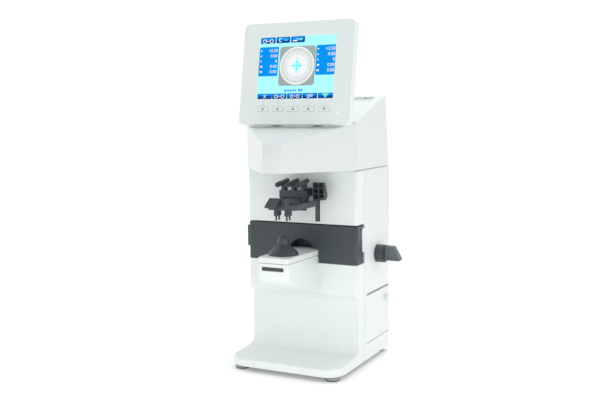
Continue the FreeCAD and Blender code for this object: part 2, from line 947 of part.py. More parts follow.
# Head: the cover with its prow and tray, and the floor with the lamp.

def prow_plan(inset, rear):
    root = half - inset
    flat = s.prow_flat_width / 2 - as_size(inset) / 3
    front = inset - s.prow_reach
    return [(-root, rear), (-root, 0), (-flat, front + s.prow_nose_set), (0, front),
            (flat, front + s.prow_nose_set), (root, 0), (root, rear)]


def slope_at(y):
    return s.head_front_top + y * head_slope


def prow_top(y):
    return s.prow_root_top + y * tangent(s.prow_slope)


def make_head_cover():
    body = new_body("head_cover")
    side_view = [(0, head_low), (0, s.head_front_top), (head_rise, s.head_rear_top),
                 (head_flat, s.head_rear_top), (head_rear_foot, head_low)]
    add(body, "x", both(half), side_view)
    round_edges(body, s.head_edge_round, "x", y=[head_flat], z=[s.head_rear_top])
    add(body, "z", (head_low, s.head_front_top), prow_plan(0, s.wall))
    far = -s.prow_reach - s.overrun
    over = s.head_front_top + s.overrun
    remove(body, "x", both(half + s.overrun), [(0, s.prow_root_top), (0, over), (far, over),
                                               (far, prow_top(far))])
    # the flanks meet the flat tip in soft upright edges
    for side_x in both(s.prow_flat_width / 2):
        spot = s.prow_nose_set - s.prow_reach
        round_edges(body, s.prow_side_round, "z", x=[side_x], y=[spot])
    round_edges(body, s.prow_tip_round, "z", x=[0], y=[-s.prow_reach])
    # tray in the sloping top, with the small catch hole in its rear wall
    tray = [(s.tray_front, slope_at(s.tray_front) - s.tray_depth),
            (tray_rear, slope_at(tray_rear) - s.tray_depth),
            (tray_rear, slope_at(tray_rear) + s.overrun),
            (s.tray_front, slope_at(s.tray_front) + s.overrun)]
    remove(body, "x", both(s.tray_width / 2), tray)
    catch_top = slope_at(tray_rear) - s.tray_latch_drop
    remove(body, "y", (tray_rear - s.wall, tray_rear + s.wall),
           rectangle((s.tray_latch_side, s.tray_latch_side + s.tray_latch_width),
                     (catch_top - s.tray_latch_height, catch_top)))
    # hollow of the head and of the prow
    under = head_low - s.overrun
    inner = [(s.wall, under), (s.wall, s.head_front_top - s.head_roof),
             (head_rise, s.head_rear_top - s.head_roof), (head_flat - s.wall, s.head_rear_top - s.head_roof),
             (head_rear_foot - s.wall - s.wall / 3, under)]
    remove(body, "x", both(half - s.wall), inner)
    remove(body, "z", (under, s.prow_cavity_top), prow_plan(s.prow_wall, s.wall + s.overrun))
    publish(body, "head_cover")


def make_head_floor():
    body = new_body("head_floor")
    side = half - s.wall - s.beside
    rear = head_rear_foot - s.wall * 2
    root = half - s.prow_wall - s.beside * 2
    flat = s.prow_flat_width / 2 - s.prow_wall / 3 - s.beside * 2
    front = s.prow_wall + s.beside * 2 - s.prow_reach
    start = s.wall + s.beside
    plan = [(-side, rear), (-side, start), (-root, start), (-root, 0), (-flat, front + s.prow_nose_set),
            (0, front), (flat, front + s.prow_nose_set), (root, 0), (root, start), (side, start),
            (side, rear)]
    add(body, "z", (head_low, head_low + s.head_floor_sheet), plan)
    through = (head_low - s.overrun, head_low + s.head_floor_sheet + s.overrun)
    remove(body, "z", through, Disc(0, -s.axis_reach, s.lamp_window))
    remove(body, "z", through, rectangle(both(s.cable_hole_width / 2),
                                         (s.cable_hole_at, s.cable_hole_at + s.cable_hole_depth)))
    publish(body, "head_floor")


def make_lamp():
    top = head_low + s.head_floor_sheet
    shell = rod("lamp_shell", "z", (top, top + s.lamp_height), 0, -s.axis_reach, s.lamp_radius)
    bore = rod("lamp_bore", "z", (top - s.overrun, top + s.lamp_height - s.wall), 0, -s.axis_reach,
               s.lamp_window - s.wall)
    publish(cut("lamp_housing", shell, [bore]), "lamp_housing")
    lens = rod("lamp_disc", "z", (top - s.lamp_lens_thickness, top), 0, -s.axis_reach,
               s.lamp_window - s.beside)
    publish(group("lamp_lens", [lens]), "lamp_lens")


# Measuring optics in the nose.

def make_nosepiece():
    body = new_body("nosepiece")
    spin(body, [(s.dome_bore, 0), (s.skirt_radius, 0), (s.skirt_radius, s.skirt_rim),
                (s.shoulder_radius, s.shoulder_height), (s.neck_radius, s.neck_height),
                (s.dome_radius, s.neck_height), (s.dome_radius, s.dome_top), (s.dome_bore, s.dome_top)])
    names = []
    for index, edge in enumerate(body.Tip.Shape.Edges, start=1):
        high = (s.dome_top - s.skirt_rim).value
        rim = edge.Curve.TypeId == "Part::GeomCircle" and edge.Curve.Center.z > high
        if rim and edge.Curve.Radius > (s.dome_bore + s.skirt_rim).value:
            names.append(f"Edge{index}")
    base = body.Tip
    dome = body.newObject("PartDesign::Fillet", "dome_round")
    dome.Base = (base, names)
    bind(dome, "Radius", s.dome_round)
    doc.recompute()
    publish(body, "nosepiece", y=-s.axis_reach, z=lid_top)


def make_sensor():
    seat = s.carrier_level + s.frame_sheet
    top = seat + s.sensor_height
    case = box("sensor_case", both(s.sensor_width / 2),
               (-s.axis_reach - s.sensor_depth / 2, s.sensor_depth / 2 - s.axis_reach), (seat, top))
    barrel = rod("sensor_barrel", "z", (top - s.wall, s.nose_seat - s.beside), 0, -s.axis_reach,
                 s.sensor_barrel)
    eye = rod("sensor_eye", "z", (top - s.wall * 2, s.nose_seat), 0, -s.axis_reach, s.light_path)
    publish(cut("sensor_module", fuse("sensor_solid", [case, barrel]), [eye]), "sensor_module")


# Inner frame, boards and supply.

def make_chassis():
    sheet_thickness = s.frame_sheet
    side = s.frame_width / 2
    rear = (frame_rear - sheet_thickness, frame_rear)
    depth = (s.frame_front, frame_rear)
    top = head_low
    parts = [
        box("frame_base", both(side), depth, (floor_top, floor_top + sheet_thickness)),
        box("frame_wall", both(side), rear, (floor_top, top)),
        box("frame_shelf", both(side), depth, (s.shelf_level, s.shelf_level + sheet_thickness)),
        box("frame_roof", both(side), depth, (top - sheet_thickness, top)),
        box("frame_ledge", both(side), (s.ledge_front, s.frame_front + s.post_width),
            (s.band_high - sheet_thickness, s.band_high)),
        box("carrier_riser", both(s.carrier_width / 2), (s.frame_front, s.frame_front + sheet_thickness),
            (s.shelf_level, s.carrier_level + sheet_thickness)),
        box("carrier_tongue", both(s.carrier_width / 2),
            (-s.axis_reach - s.sensor_depth / 2, s.frame_front + sheet_thickness),
            (s.carrier_level, s.carrier_level + sheet_thickness)),
    ]
    post = (s.frame_front, s.frame_front + s.post_width)
    block = s.bush_block / 2
    for sign in (-1, 1):
        inner = sign * (side - s.post_width)
        outer = sign * side
        near = inner if sign > 0 else outer
        far = outer if sign > 0 else inner
        parts.append(box("frame_post", (near, far), post, (floor_top, top)))
        rod_x = sign * s.rod_side
        low_x = rod_x - block if sign > 0 else outer
        high_x = outer if sign > 0 else rod_x + block
        parts.append(box("bush_block", (low_x, high_x),
                         (s.frame_front, s.frame_front + s.bush_length - s.wall),
                         (s.rod_level - block, s.rod_level + block)))
    for x in (s.board_boss_inset - s.board_left, s.board_width - s.board_left - s.board_boss_inset):
        for z in (s.board_low + s.board_boss_inset, s.board_low + s.board_height - s.board_boss_inset):
            parts.append(rod("board_boss", "y", (rear[0] - s.board_stand, rear[0]), x, z,
                             s.board_boss_radius))
    bores = [rod("bush_bore", "y", (s.frame_front - s.overrun, s.frame_front + s.bush_length), x, s.rod_level,
                 s.bush_radius + s.running) for x in both(s.rod_side)]
    window = box("inlet_window", (-s.inlet_left - s.wall, s.inlet_width - s.inlet_left + s.wall),
                 (rear[0] - s.overrun, rear[1] + s.overrun),
                 (s.inlet_low - s.wall, s.inlet_low + s.inlet_height + s.wall))
    cable = box("cable_hole", both(s.cable_hole_width / 2),
                (s.cable_hole_at, s.cable_hole_at + s.cable_hole_depth), (top - s.overrun, top + s.overrun))
    screw_holes = [rod("screw_hole", "y", (rear[0] - s.overrun, rear[1] + s.overrun), x, z,
                       s.screw_radius + s.running)
                   for x in both(s.screw_side) for z in (s.screw_level_low, s.screw_level_high)]
    publish(cut("chassis", fuse("frame_solid", parts), bores + [window, cable] + screw_holes), "chassis")


def make_band_panel():
    rear = s.band_panel_front + s.band_panel_thickness
    panel = box("band_sheet", both(half - s.wall - s.beside), (s.band_panel_front, rear),
                (s.band_low, s.band_high - s.frame_sheet - s.beside))
    through = (s.band_panel_front - s.overrun, rear + s.overrun)
    nose = box("band_nose_gate", both(nose_half(s.seam_depth) + s.beside), through,
               (s.band_low - s.overrun, s.nose_seat + s.beside))
    rods = [rod("band_rod_hole", "y", through, x, s.rod_level, s.rod_radius + s.beside * 2)
            for x in both(s.rod_side)]
    rack_low = s.lever_level + pinion_radius - s.tooth_module - s.beside * 2
    rack = box("band_rack_gate", (s.rack_left - s.beside * 2, s.rack_left + s.rack_width + s.beside * 2),
               through,
               (rack_low, s.lever_level + pinion_radius + s.rack_height + s.beside * 2))
    publish(cut("band_panel", panel, [nose, rack] + rods), "band_panel")


def make_main_board():
    rear = frame_rear - s.frame_sheet - s.board_stand
    front = rear - s.board_thickness
    left = -s.board_left
    width = s.board_width
    sheet_part = box("board_sheet", (left, left + width), (front, rear),
                     (s.board_low, s.board_low + s.board_height))
    middle = left + width / 2
    parts = [sheet_part]
    for share in (1 / 4, 5 / 8):
        low = s.board_low + s.board_height * share
        parts.append(box("chip", (middle - s.chip_size / 2, middle + s.chip_size / 2),
                         (front - s.chip_height, front), (low, low + s.chip_size)))
    for low in (s.board_low + s.board_boss_inset, s.board_low + s.board_height - s.board_boss_inset * 2):
        parts.append(box("connector", (middle - s.connector_length / 2, middle + s.connector_length / 2),
                         (front - s.connector_height, front), (low, low + s.board_boss_inset)))
    publish(fuse("main_board", parts), "main_board")


def make_power_supply():
    low = floor_top + s.frame_sheet
    left = -s.supply_left
    depth = inlet_front - s.supply_rear_gap - s.supply_front
    case = box("supply_case", (left, left + s.supply_width), (s.supply_front, s.supply_front + depth),
               (low, low + s.supply_height))
    middle = left + s.supply_width / 2
    slots = []
    start = s.supply_front + depth / 2 - s.supply_slot_pitch * (s.supply_slot_count - 1) / 2
    for index in range(int(s.supply_slot_count.value)):
        y = start + s.supply_slot_pitch * index
        slots.append(box("supply_slot",
                         (middle - s.supply_slot_length / 2, middle + s.supply_slot_length / 2),
                         (y - s.supply_slot_width / 2, y + s.supply_slot_width / 2),
                         (low + s.supply_height - s.wall, low + s.supply_height + s.overrun)))
    publish(cut("power_supply", case, slots), "power_supply")


def make_power_inlet():
    left = -s.inlet_left
    right = left + s.inlet_width
    low = s.inlet_low
    high = low + s.inlet_height
    rear = s.body_depth + s.inlet_flange
    margin = s.inlet_flange_margin
    solid = fuse("inlet_solid", [
        box("inlet_case", (left, right), (inlet_front, rear), (low, high)),
        box("inlet_rim", (left - margin, right + margin), (s.body_depth, rear),
            (low - margin, high + margin)),
    ])
    socket_x = (left + s.socket_margin, left + s.socket_margin + s.socket_width)
    middle_z = low + s.inlet_height / 2
    socket = box("socket_well", socket_x, (rear - s.socket_depth, rear + s.overrun),
                 (middle_z - s.socket_height / 2, middle_z + s.socket_height / 2))
    switch_x = (right - s.switch_margin - s.switch_width, right - s.switch_margin)
    well = box("switch_well", switch_x, (rear - s.switch_well_depth, rear + s.overrun),
               (middle_z - s.switch_height / 2, middle_z + s.switch_height / 2))
    pivot = rod("rocker_seat", "x", (switch_x[0] - s.beside * 4, switch_x[1] + s.beside * 4),
                rear - s.rocker_pivot_depth, middle_z, s.rocker_pin_radius + s.running)
    hollowed = cut("inlet_hollowed", solid, [socket, well, pivot])
    contacts = []
    middle_x = (socket_x[0] + socket_x[1]) / 2
    floor = rear - s.socket_depth
    for step, rise in ((-1, -1), (0, 1), (1, -1)):
        x = middle_x + s.contact_pitch * step
        z = middle_z + s.contact_rise * rise / 2
        contacts.append(box("contact", (x - s.contact_thickness / 2, x + s.contact_thickness / 2),
                            (floor, floor + s.contact_reach),
                            (z - s.contact_height / 2, z + s.contact_height / 2)))
    publish(fuse("power_inlet", [hollowed] + contacts), "power_inlet")
    make_power_switch(switch_x, rear - s.rocker_pivot_depth, middle_z)


def make_power_switch(span, pivot_y, pivot_z):
    """Rocker about an axis along x, drawn level about its pivot and then tilted."""
    body = new_body("power_switch")
    front = -s.rocker_thickness / 2
    face = s.rocker_thickness / 2 + s.rocker_crown
    profile = [(front, -s.rocker_half_height), (face, -s.rocker_half_height), (face - s.rocker_crown, 0),
               (face, s.rocker_half_height), (front, s.rocker_half_height)]
    width = as_size(span[1]) - span[0]
    add(body, "x", both(width / 2 - s.beside), profile)
    add(body, "x", both(width / 2 + s.beside * 3), Disc(0, 0, s.rocker_pin_radius))
    middle = (span[0] + span[1]) / 2
    publish(body, "power_switch", x=middle, y=pivot_y, z=pivot_z, tilt=s.rocker_tilt)


# Lens table, its slide rods and its rack.

def make_lens_table():
    body = new_body("lens_table")
    low = s.band_low + s.table_gap_low
    high = s.band_high - s.table_gap_high
    depth = s.table_depth
    add(body, "y", (0, depth), rectangle(both(half), (low, high)))
    round_edges(body, s.table_corner, "z", y=[0])
    behind = depth + s.overrun
    remove(body, "y", (s.wall, behind), rectangle(both(half - s.wall), (low + s.wall, high - s.wall)))
    arch_rise = s.arch_top - lid_top - s.table_lid_clear
    arch_radius = (s.arch_half_width * s.arch_half_width + arch_rise * arch_rise) / (arch_rise * 2)
    centre = s.arch_top - arch_radius
    add(body, "y", (s.wall / 2, depth), Disc(0, centre, arch_radius + s.arch_sleeve))
    remove(body, "y", (-s.overrun, depth - s.wall), Disc(0, centre, arch_radius))
    remove(body, "y", (-s.overrun, behind),
           rectangle(both(s.nose_root_width / 2 + s.table_nose_clear),
                     (low - arch_radius, lid_top + s.table_lid_clear)))
    # notch and hole in the right-hand end, finger grip on the left-hand one
    notch = [(s.table_notch_front_low, s.table_notch_low), (behind, s.table_notch_low),
             (behind, s.table_notch_high), (s.table_notch_front_high, s.table_notch_high)]
    end = (half - s.wall - s.overrun, half + s.overrun)
    remove(body, "x", end, notch)
    remove(body, "x", end, Disc(s.table_hole_depth, s.table_hole_level, s.table_hole_radius))
    add(body, "x", (-half - s.grip_reach, s.wall / 2 - half),
        rectangle((s.table_corner, s.table_corner + s.grip_depth), (s.grip_low, s.grip_high)))
    round_edges(body, s.grip_round, "z", x=[-half - s.grip_reach])
    publish(body, "lens_table")


def make_table_rods():
    rods = [rod("slide_rod", "y", (s.wall, frame_inner - s.rod_end_gap), x, s.rod_level, s.rod_radius)
            for x in both(s.rod_side)]
    publish(group("table_rods", rods), "table_rods")
    bushes = []
    start = s.frame_front - s.wall
    for x in both(s.rod_side):
        shell = rod("bush_shell", "y", (start, start + s.bush_length), x, s.rod_level, s.bush_radius)
        bore = rod("bush_inner", "y", (start - s.overrun, start + s.bush_length + s.overrun), x, s.rod_level,
                   s.rod_radius + s.running)
        bushes.append(cut("bush", shell, [bore]))
    publish(group("table_bushes", bushes), "table_bushes")


def tooth_sizes():
    """Half widths of a tooth at its pitch line, and what a flank gains or loses beside it."""
    pitch = s.tooth_module * math.pi
    at_pitch = pitch / 4 - s.running * 3
    return pitch, at_pitch


def make_table_rack():
    body = new_body("table_rack")
    pitch, at_pitch = tooth_sizes()
    line = s.lever_level + pinion_radius
    root = line + s.tooth_module + s.pinion_clear
    add(body, "x", (s.rack_left, s.rack_left + s.rack_width),
        rectangle((s.wall, rack_rear), (root, line + s.rack_height)))
    flank = math.tan(math.radians(20))
    tip_half = at_pitch - s.tooth_module * flank
    root_half = at_pitch + (s.tooth_module + s.pinion_clear) * flank
    behind = whole((rack_rear - s.lever_depth - root_half) / pitch + 1 / 2)
    last = s.lever_depth + pitch * (behind - 1 / 2)
    count = s.rack_teeth_ahead + behind
    tooth = add(body, "x", (s.rack_left, s.rack_left + s.rack_width),
                [(last - root_half, root + s.running), (last - tip_half, line - s.tooth_module),
                 (last + tip_half, line - s.tooth_module), (last + root_half, root + s.running)])
    pattern = repeat(body, "PartDesign::LinearPattern", tooth, (origin_feature(body, "Y_Axis"), [""]),
                     count)
    pattern.Reversed = True
    bind(pattern, "Length", pitch * (count - 1))
    doc.recompute()
    publish(body, "table_rack")


# Side lever with its shaft, pinion and bearing.

def make_lever():
    start = half + s.shadow_line
    body = new_body("lever_knob")
    add(body, "x", (start, start + s.hub_length), Disc(s.lever_depth, s.lever_level, s.hub_radius))
    front = s.lever_depth - s.blade_thickness / 2
    rear = s.lever_depth + s.blade_thickness / 2
    top = s.lever_level + s.hub_radius
    low = s.lever_level - s.blade_low
    tip_low = low + s.blade_tip_rise
    inner = start + s.hub_length / 2
    blade = [(inner, top - s.blade_top_drop / 2), (start + s.blade_top_reach, top - s.blade_top_drop),
             (start + s.blade_reach, tip_low), (start + s.blade_reach - s.blade_rim, low),
             (start + s.blade_heel_reach, low), (inner, low + s.blade_rim)]
    add(body, "y", (front, rear), blade)
    rim = s.blade_rim
    hollow = [(start + s.hub_length + rim * 2, top - rim * 2),
              (start + s.blade_top_reach - rim, top - rim * 2),
              (start + s.blade_reach - rim * 2, low + rim), (start + s.hub_length + rim * 2, low + rim)]
    remove(body, "y", (front - s.overrun, front + s.blade_hollow), hollow)
    round_edges(body, s.blade_round, "y", x=[start + s.blade_reach], z=[tip_low])
    publish(body, "lever_knob")
    shaft = rod("shaft_steel", "x", (s.lever_shaft_left, start), s.lever_depth, s.lever_level,
                s.lever_shaft_radius)
    publish(group("lever_shaft", [shaft]), "lever_shaft")


def make_lever_pinion():
    """Pinion on the lever's axis, drawn about its own centre with a tooth straight up."""
    body = new_body("lever_pinion")
    at_pitch = tooth_sizes()[1]
    width = (s.beside, s.rack_width - s.beside)
    root = pinion_radius - s.tooth_module - s.pinion_clear
    add(body, "x", width, Disc(0, 0, root))
    root_half_share = 1.14
    tip_half_share = 0.4
    tooth = add(body, "x", width,
                [(-at_pitch * root_half_share, root - s.pinion_clear),
                 (at_pitch * root_half_share, root - s.pinion_clear),
                 (at_pitch, pinion_radius), (at_pitch * tip_half_share, pinion_radius + s.tooth_module),
                 (-at_pitch * tip_half_share, pinion_radius + s.tooth_module), (-at_pitch, pinion_radius)])
    repeat(body, "PartDesign::PolarPattern", tooth, (origin_feature(body, "X_Axis"), [""]), s.pinion_teeth)
    doc.recompute()
    remove(body, "x", (-s.overrun, s.rack_width + s.overrun), Disc(0, 0, s.lever_shaft_radius))
    publish(body, "lever_pinion", x=s.rack_left, y=s.lever_depth, z=s.lever_level)


def make_lever_bearing():
    seat = s.shelf_level + s.frame_sheet
    depth = (s.lever_depth - s.cheek_depth / 2, s.lever_depth + s.cheek_depth / 2)
    left = (s.lever_shaft_left, s.lever_shaft_left + s.cheek_thickness)
    right_start = s.rack_left + s.rack_width + s.wall
    right = (right_start, right_start + s.cheek_thickness)
    top = s.lever_level + s.cheek_head
    solid = fuse("bearing_solid", [
        box("bearing_foot", (left[0], right[1]), depth, (seat, seat + s.wall)),
        box("bearing_left", left, depth, (seat, top)),
        box("bearing_right", right, depth, (seat, top)),
    ])
    bore = rod("bearing_bore", "x", (left[0] - s.overrun, right[1] + s.overrun), s.lever_depth, s.lever_level,
               s.lever_shaft_radius + s.running)
    publish(cut("lever_bearing", solid, [bore]), "lever_bearing")


# Lens holder: rail, slider, arm with its finger tab, sockets and sprung pins.

def make_lens_holder():
    rail_left = s.slot_left + s.beside
    rail_right = rail_left + s.rail_width
    rail_front = s.wall + s.beside
    rail_rear = rail_front + s.rail_depth
    floor = s.slot_low - s.beside
    rail = box("rail_bar", (rail_left, rail_right), (rail_front, rail_rear), (floor, s.slot_high + s.wall))
    publish(group("holder_rail", [rail]), "holder_rail")
    front = s.wall + s.shadow_line
    block = box("slider_block", (s.slider_left, s.slider_right), (front, front + s.slider_depth),
                (s.slider_low, s.slider_low + s.slider_height))
    groove = box("slider_groove", (rail_left - s.slider_clear, rail_right + s.slider_clear),
                 (front - s.overrun, rail_rear + s.slider_clear),
                 (s.slider_low - s.overrun, s.slider_low + s.slider_height + s.overrun))
    publish(cut("holder_slider", block, [groove]), "holder_slider")
    make_holder_arm(front)


def make_holder_arm(slider_front):
    low = s.arm_low
    high = low + s.arm_height
    bar_rear = s.arm_bar - s.arm_front
    neck_low = low + s.neck_drop
    body = new_body("holder_arm")
    plan = [(-s.arm_bar_left, -s.arm_front), (s.arm_right, -s.arm_front), (s.arm_right, -s.arm_stand_off),
            (s.arm_left, -s.arm_stand_off), (s.arm_left, bar_rear), (-s.arm_bar_left, bar_rear)]
    add(body, "z", (low, high), plan)
    round_edges(body, s.arm_corner, "z", x=[s.arm_right], y=[-s.arm_front])
    add(body, "z", (neck_low, high - s.neck_drop),
        rectangle((s.neck_left, s.neck_right), (-s.arm_stand_off - s.wall, slider_front)))
    add(body, "z", (low, low + s.pillar_height),
        rectangle((s.pillar_left, s.pillar_right), (-s.arm_front, bar_rear)))
    for x in both(s.prong_side):
        add(body, "z", (low, high),
            rectangle((x - s.prong_width / 2, x + s.prong_width / 2), (bar_rear - s.wall, -s.prong_rear)))
    tab = [(-s.tab_reach, s.tab_low), (-s.tab_reach, s.tab_low + s.tab_lip), (-s.tab_top_reach, s.tab_top),
           (-s.tab_root, s.tab_top), (-s.tab_root, low), (-s.arm_front, low), (-s.arm_front, s.tab_low)]
    add(body, "x", (-s.tab_left, s.tab_right), tab)
    publish(body, "holder_arm")
    make_pin_sockets(low)


def make_pin_sockets(top):
    sockets = []
    for x in both(s.prong_side):
        shell = box("socket_shell", (x - s.prong_width / 2, x + s.prong_width / 2),
                    (-s.axis_reach - s.socket_half_depth, s.socket_half_depth - s.axis_reach),
                    (s.socket_low, top))
        bores = [rod("pin_bore", "z", (s.socket_low - s.overrun, top + s.overrun), x, y - s.axis_reach,
                     s.pin_radius + s.running) for y in both(s.pin_half_pitch)]
        sockets.append(cut("pin_socket", shell, bores))
    publish(group("pin_sockets", sockets), "pin_sockets")
    number = 0
    for x in both(s.prong_side):
        for y in both(s.pin_half_pitch):
            number += 1
            shank = rod("pin_shank", "z", (s.pin_low + s.pin_radius, s.pin_low + s.pin_length), x,
                        y - s.axis_reach, s.pin_radius)
            tip = ball("pin_tip", x, y - s.axis_reach, s.pin_low + s.pin_radius, s.pin_radius)
            publish(fuse(f"lens_pin_{number}", [shank, tip]), f"lens_pin_{number}")


# Marker: lug and shaft on the column, swinging frame with three pens and the finger handle.

def make_marker_lug():
    lug = fuse("lug_solid", [
        box("lug_bar", both(s.lug_half_width), (-s.pivot_reach - s.lug_radius / 2, 0),
            (s.pivot_level - s.lug_radius / 2, s.pivot_level + s.lug_rise)),
        rod("lug_round", "x", both(s.lug_half_width), -s.pivot_reach, s.pivot_level, s.lug_radius),
    ])
    bore = rod("lug_bore", "x", both(s.lug_half_width + s.overrun), -s.pivot_reach, s.pivot_level,
               s.pivot_radius)
    publish(cut("marker_lug", lug, [bore]), "marker_lug")
    shaft = rod("pivot_steel", "x", both(s.pivot_shaft_half), -s.pivot_reach, s.pivot_level, s.pivot_radius)
    publish(group("marker_shaft", [shaft]), "marker_shaft")


def pen_middle():
    """How far the middle of the block, on which the pens lie, is ahead of the column."""
    return (s.block_front + s.block_rear) / 2


def make_marker_frame():
    block = box("marker_block", both(s.block_half_width), (-s.block_front, -s.block_rear),
                (s.block_low, s.block_high))
    parts = [block]
    for sign in (-1, 1):
        inner = sign * s.side_arm_inner
        outer = sign * s.side_arm_outer
        span = (inner, outer) if sign > 0 else (outer, inner)
        parts.append(box("side_arm", span, (-s.pivot_reach - s.lug_radius / 2, -s.block_rear),
                         (s.pivot_level, s.block_low)))
        parts.append(rod("side_eye", "x", span, -s.pivot_reach, s.pivot_level, s.lug_radius))
    for step in (-1, 0, 1):
        x = s.pen_pitch * step
        parts.append(box("pen_post", (x - s.post_half_width, x + s.post_half_width),
                         (-s.block_front, -s.block_rear - s.block_round), (s.block_high, s.pen_level)))
    tools = [rod("pivot_bore", "x", both(s.block_half_width + s.overrun), -s.pivot_reach, s.pivot_level,
                 s.pivot_radius + s.running)]
    ahead = s.pen_front - pen_middle()
    for step in (-1, 0, 1):
        bed = rod("pen_bed", "y", (-pen_middle() - ahead * cosine(s.pen_tilt), 0), s.pen_pitch * step,
                  s.pen_level - ahead * sine(s.pen_tilt), s.pen_radius)
        bed.Placement.Rotation = FreeCAD.Rotation(FreeCAD.Vector(-1, 0, 0), 1)
        bind(bed, "Placement.Rotation.Angle", 90 - s.pen_tilt)
        tools.append(bed)
    publish(cut("marker_frame", fuse("marker_solid", parts), tools), "marker_frame")


def make_pens():
    """Three pens drawn level about the middle of the block, then tipped together."""
    front = pen_middle() - s.pen_front
    rear = pen_middle() - s.pen_rear
    pens = []
    for step in (-1, 0, 1):
        x = s.pen_pitch * step
        parts = [
            rod("pen_barrel", "y", (front + s.cap_round, rear), x, 0, s.pen_radius),
            rod("pen_cap", "y", (front, front + s.cap_length), x, 0, s.cap_radius),
            rod("pen_tip", "y", (front - s.tip_length, front + s.cap_round), x, 0, s.tip_radius),
            ball("pen_end", x, rear, 0, s.pen_radius),
        ]
        if step < 0:
            parts.append(rod("pen_stud", "y", (rear, rear + s.pen_radius + s.tip_length), x, 0, s.tip_radius))
        pens.append(fuse("pen", parts))
    publish(group("marker_pens", pens), "marker_pens", y=-pen_middle(), z=s.pen_level, tilt=s.pen_tilt)


def cells(low, high, count):
    """Low and high ends of equal cells between ribs."""
    rib = s.cell_rib
    width = (high - low - rib * (count + 1)) / count
    return [(low + rib + (width + rib) * index, low + (width + rib) * (index + 1)) for index in range(count)]


def make_marker_handle():
    """Finger handle: a wedge that is thin at its top, open to the front in cells between ribs."""
    body = new_body("marker_handle")
    step = s.handle_step
    thick = s.handle_front - s.handle_rear
    lean = (thick - s.handle_top_depth) / (s.handle_high - s.handle_low - s.handle_bevel)
    side_view = [(-s.handle_front, s.handle_low), (-s.handle_rear - thick / 2, s.handle_low),
                 (-s.handle_rear, s.handle_low + s.handle_bevel),
                 (s.handle_top_depth - s.handle_front, s.handle_high), (-s.handle_front, s.handle_high)]
    add(body, "x", (step, s.handle_right), side_view)
    add(body, "y", (-s.block_rear, -s.handle_rear),
        rectangle((s.handle_left, step + s.cell_rib), (s.handle_low + s.handle_bevel, s.handle_step_high)))
    for z in cells(s.handle_low, s.handle_high, 3):
        depth = s.handle_top_depth + (s.handle_high - z[1]) * lean - s.cell_floor
        for x in cells(step, s.handle_right, 2):
            remove(body, "y", (-s.handle_front - s.overrun, depth - s.handle_front), rectangle(x, z))
    floor = s.cell_floor / 2 - s.cell_floor - s.handle_rear
    for x in cells(s.block_half_width, step, 2):
        for z in cells(s.handle_low + s.handle_bevel, s.handle_step_high, 2):
            remove(body, "y", (-s.block_rear - s.overrun, floor), rectangle(x, z))
    publish(body, "marker_handle")


# Display, drawn flat: x to the right, y up the screen, z out of the screen, from its centre.

def display_level():
    """Level of the screen's centre, with the back's lower rear edge a gap above the prow."""
    rear = s.bezel_proud - s.display_back_depth
    foot = rear * cosine(s.display_tilt) + s.display_below * sine(s.display_tilt) + s.display_reach
    hang = s.display_below * cosine(s.display_tilt) - rear * sine(s.display_tilt)
    return prow_top(-foot) + s.display_foot_gap + hang


def display_publish(thing, name):
    publish(thing, name, y=-s.display_reach, z=display_level(), tilt=90 - s.display_tilt)


def hinge_local():
    """Place of the tilt axis in the flat frame of the display."""
    dy = s.display_reach - s.hinge_reach
    dz = s.hinge_level - display_level()
    up = dy * sine(s.display_tilt) + dz * cosine(s.display_tilt)
    out = -dy * cosine(s.display_tilt) + dz * sine(s.display_tilt)
    return up, out


def make_display_bezel():
    body = new_body("display_bezel")
    front = s.bezel_proud
    rear = front - s.bezel_depth
    plan = rectangle(both(s.display_width / 2), (-s.display_below, s.display_above))
    add(body, "z", (rear, front), plan)
    round_edges(body, s.display_corner, "z", x=both(s.display_width / 2))
    through = (rear - s.overrun, front + s.overrun)
    remove(body, "z", through, rectangle(both(s.screen_width / 2), both(s.screen_height / 2)))
    wide = both(s.screen_width / 2 + s.screen_rim)
    tall = both(s.screen_height / 2 + s.screen_rim)
    remove(body, "z", (rear - s.overrun, 0), rectangle(wide, tall))
    for x in key_places():
        remove(body, "z", through, rectangle((x - s.key_width / 2 - s.beside, x + s.key_width / 2 + s.beside),
                                             (-s.key_below - s.key_height / 2 - s.beside,
                                              s.key_height / 2 + s.beside - s.key_below)))
    remove(body, "z", through, Disc(s.indicator_right, -s.indicator_below, s.indicator_radius))
    display_publish(body, "display_bezel")


def key_places():
    count = int(s.key_count.value)
    return [s.key_pitch * (index - (count - 1) / 2) for index in range(count)]


def make_display_back():
    body = new_body("display_back")
    front = s.bezel_proud - s.bezel_depth
    rear = s.bezel_proud - s.display_back_depth
    half_width = s.display_width / 2
    wall = s.display_wall
    add(body, "z", (rear, front), rectangle(both(half_width), (-s.display_below, s.display_above)))
    round_edges(body, s.display_corner, "z", x=both(half_width))
    inset = s.display_corner - wall
    x_in = half_width - wall
    low = wall - s.display_below
    high = s.display_above - wall
    plan = [(inset - x_in, low), (x_in - inset, low), (x_in, low + inset), (x_in, high - inset),
            (x_in - inset, high), (inset - x_in, high), (-x_in, high - inset), (-x_in, low + inset)]
    remove(body, "z", (rear + wall, front + s.overrun), plan)
    up, out = hinge_local()
    radius = s.hinge_lug_radius
    for sign in (-1, 1):
        inner = sign * s.hinge_lug_in
        outer = sign * s.hinge_lug_out
        span = (inner, outer) if sign > 0 else (outer, inner)
        add(body, "x", span, [(up - radius, rear + wall / 2), (up + radius, rear + wall / 2),
                              (up + radius, out), (up - radius, out)])
        add(body, "x", span, Disc(up, out, radius))
        remove(body, "x", span, Disc(up, out, s.hinge_pin_radius + s.running))
    display_publish(body, "display_back")


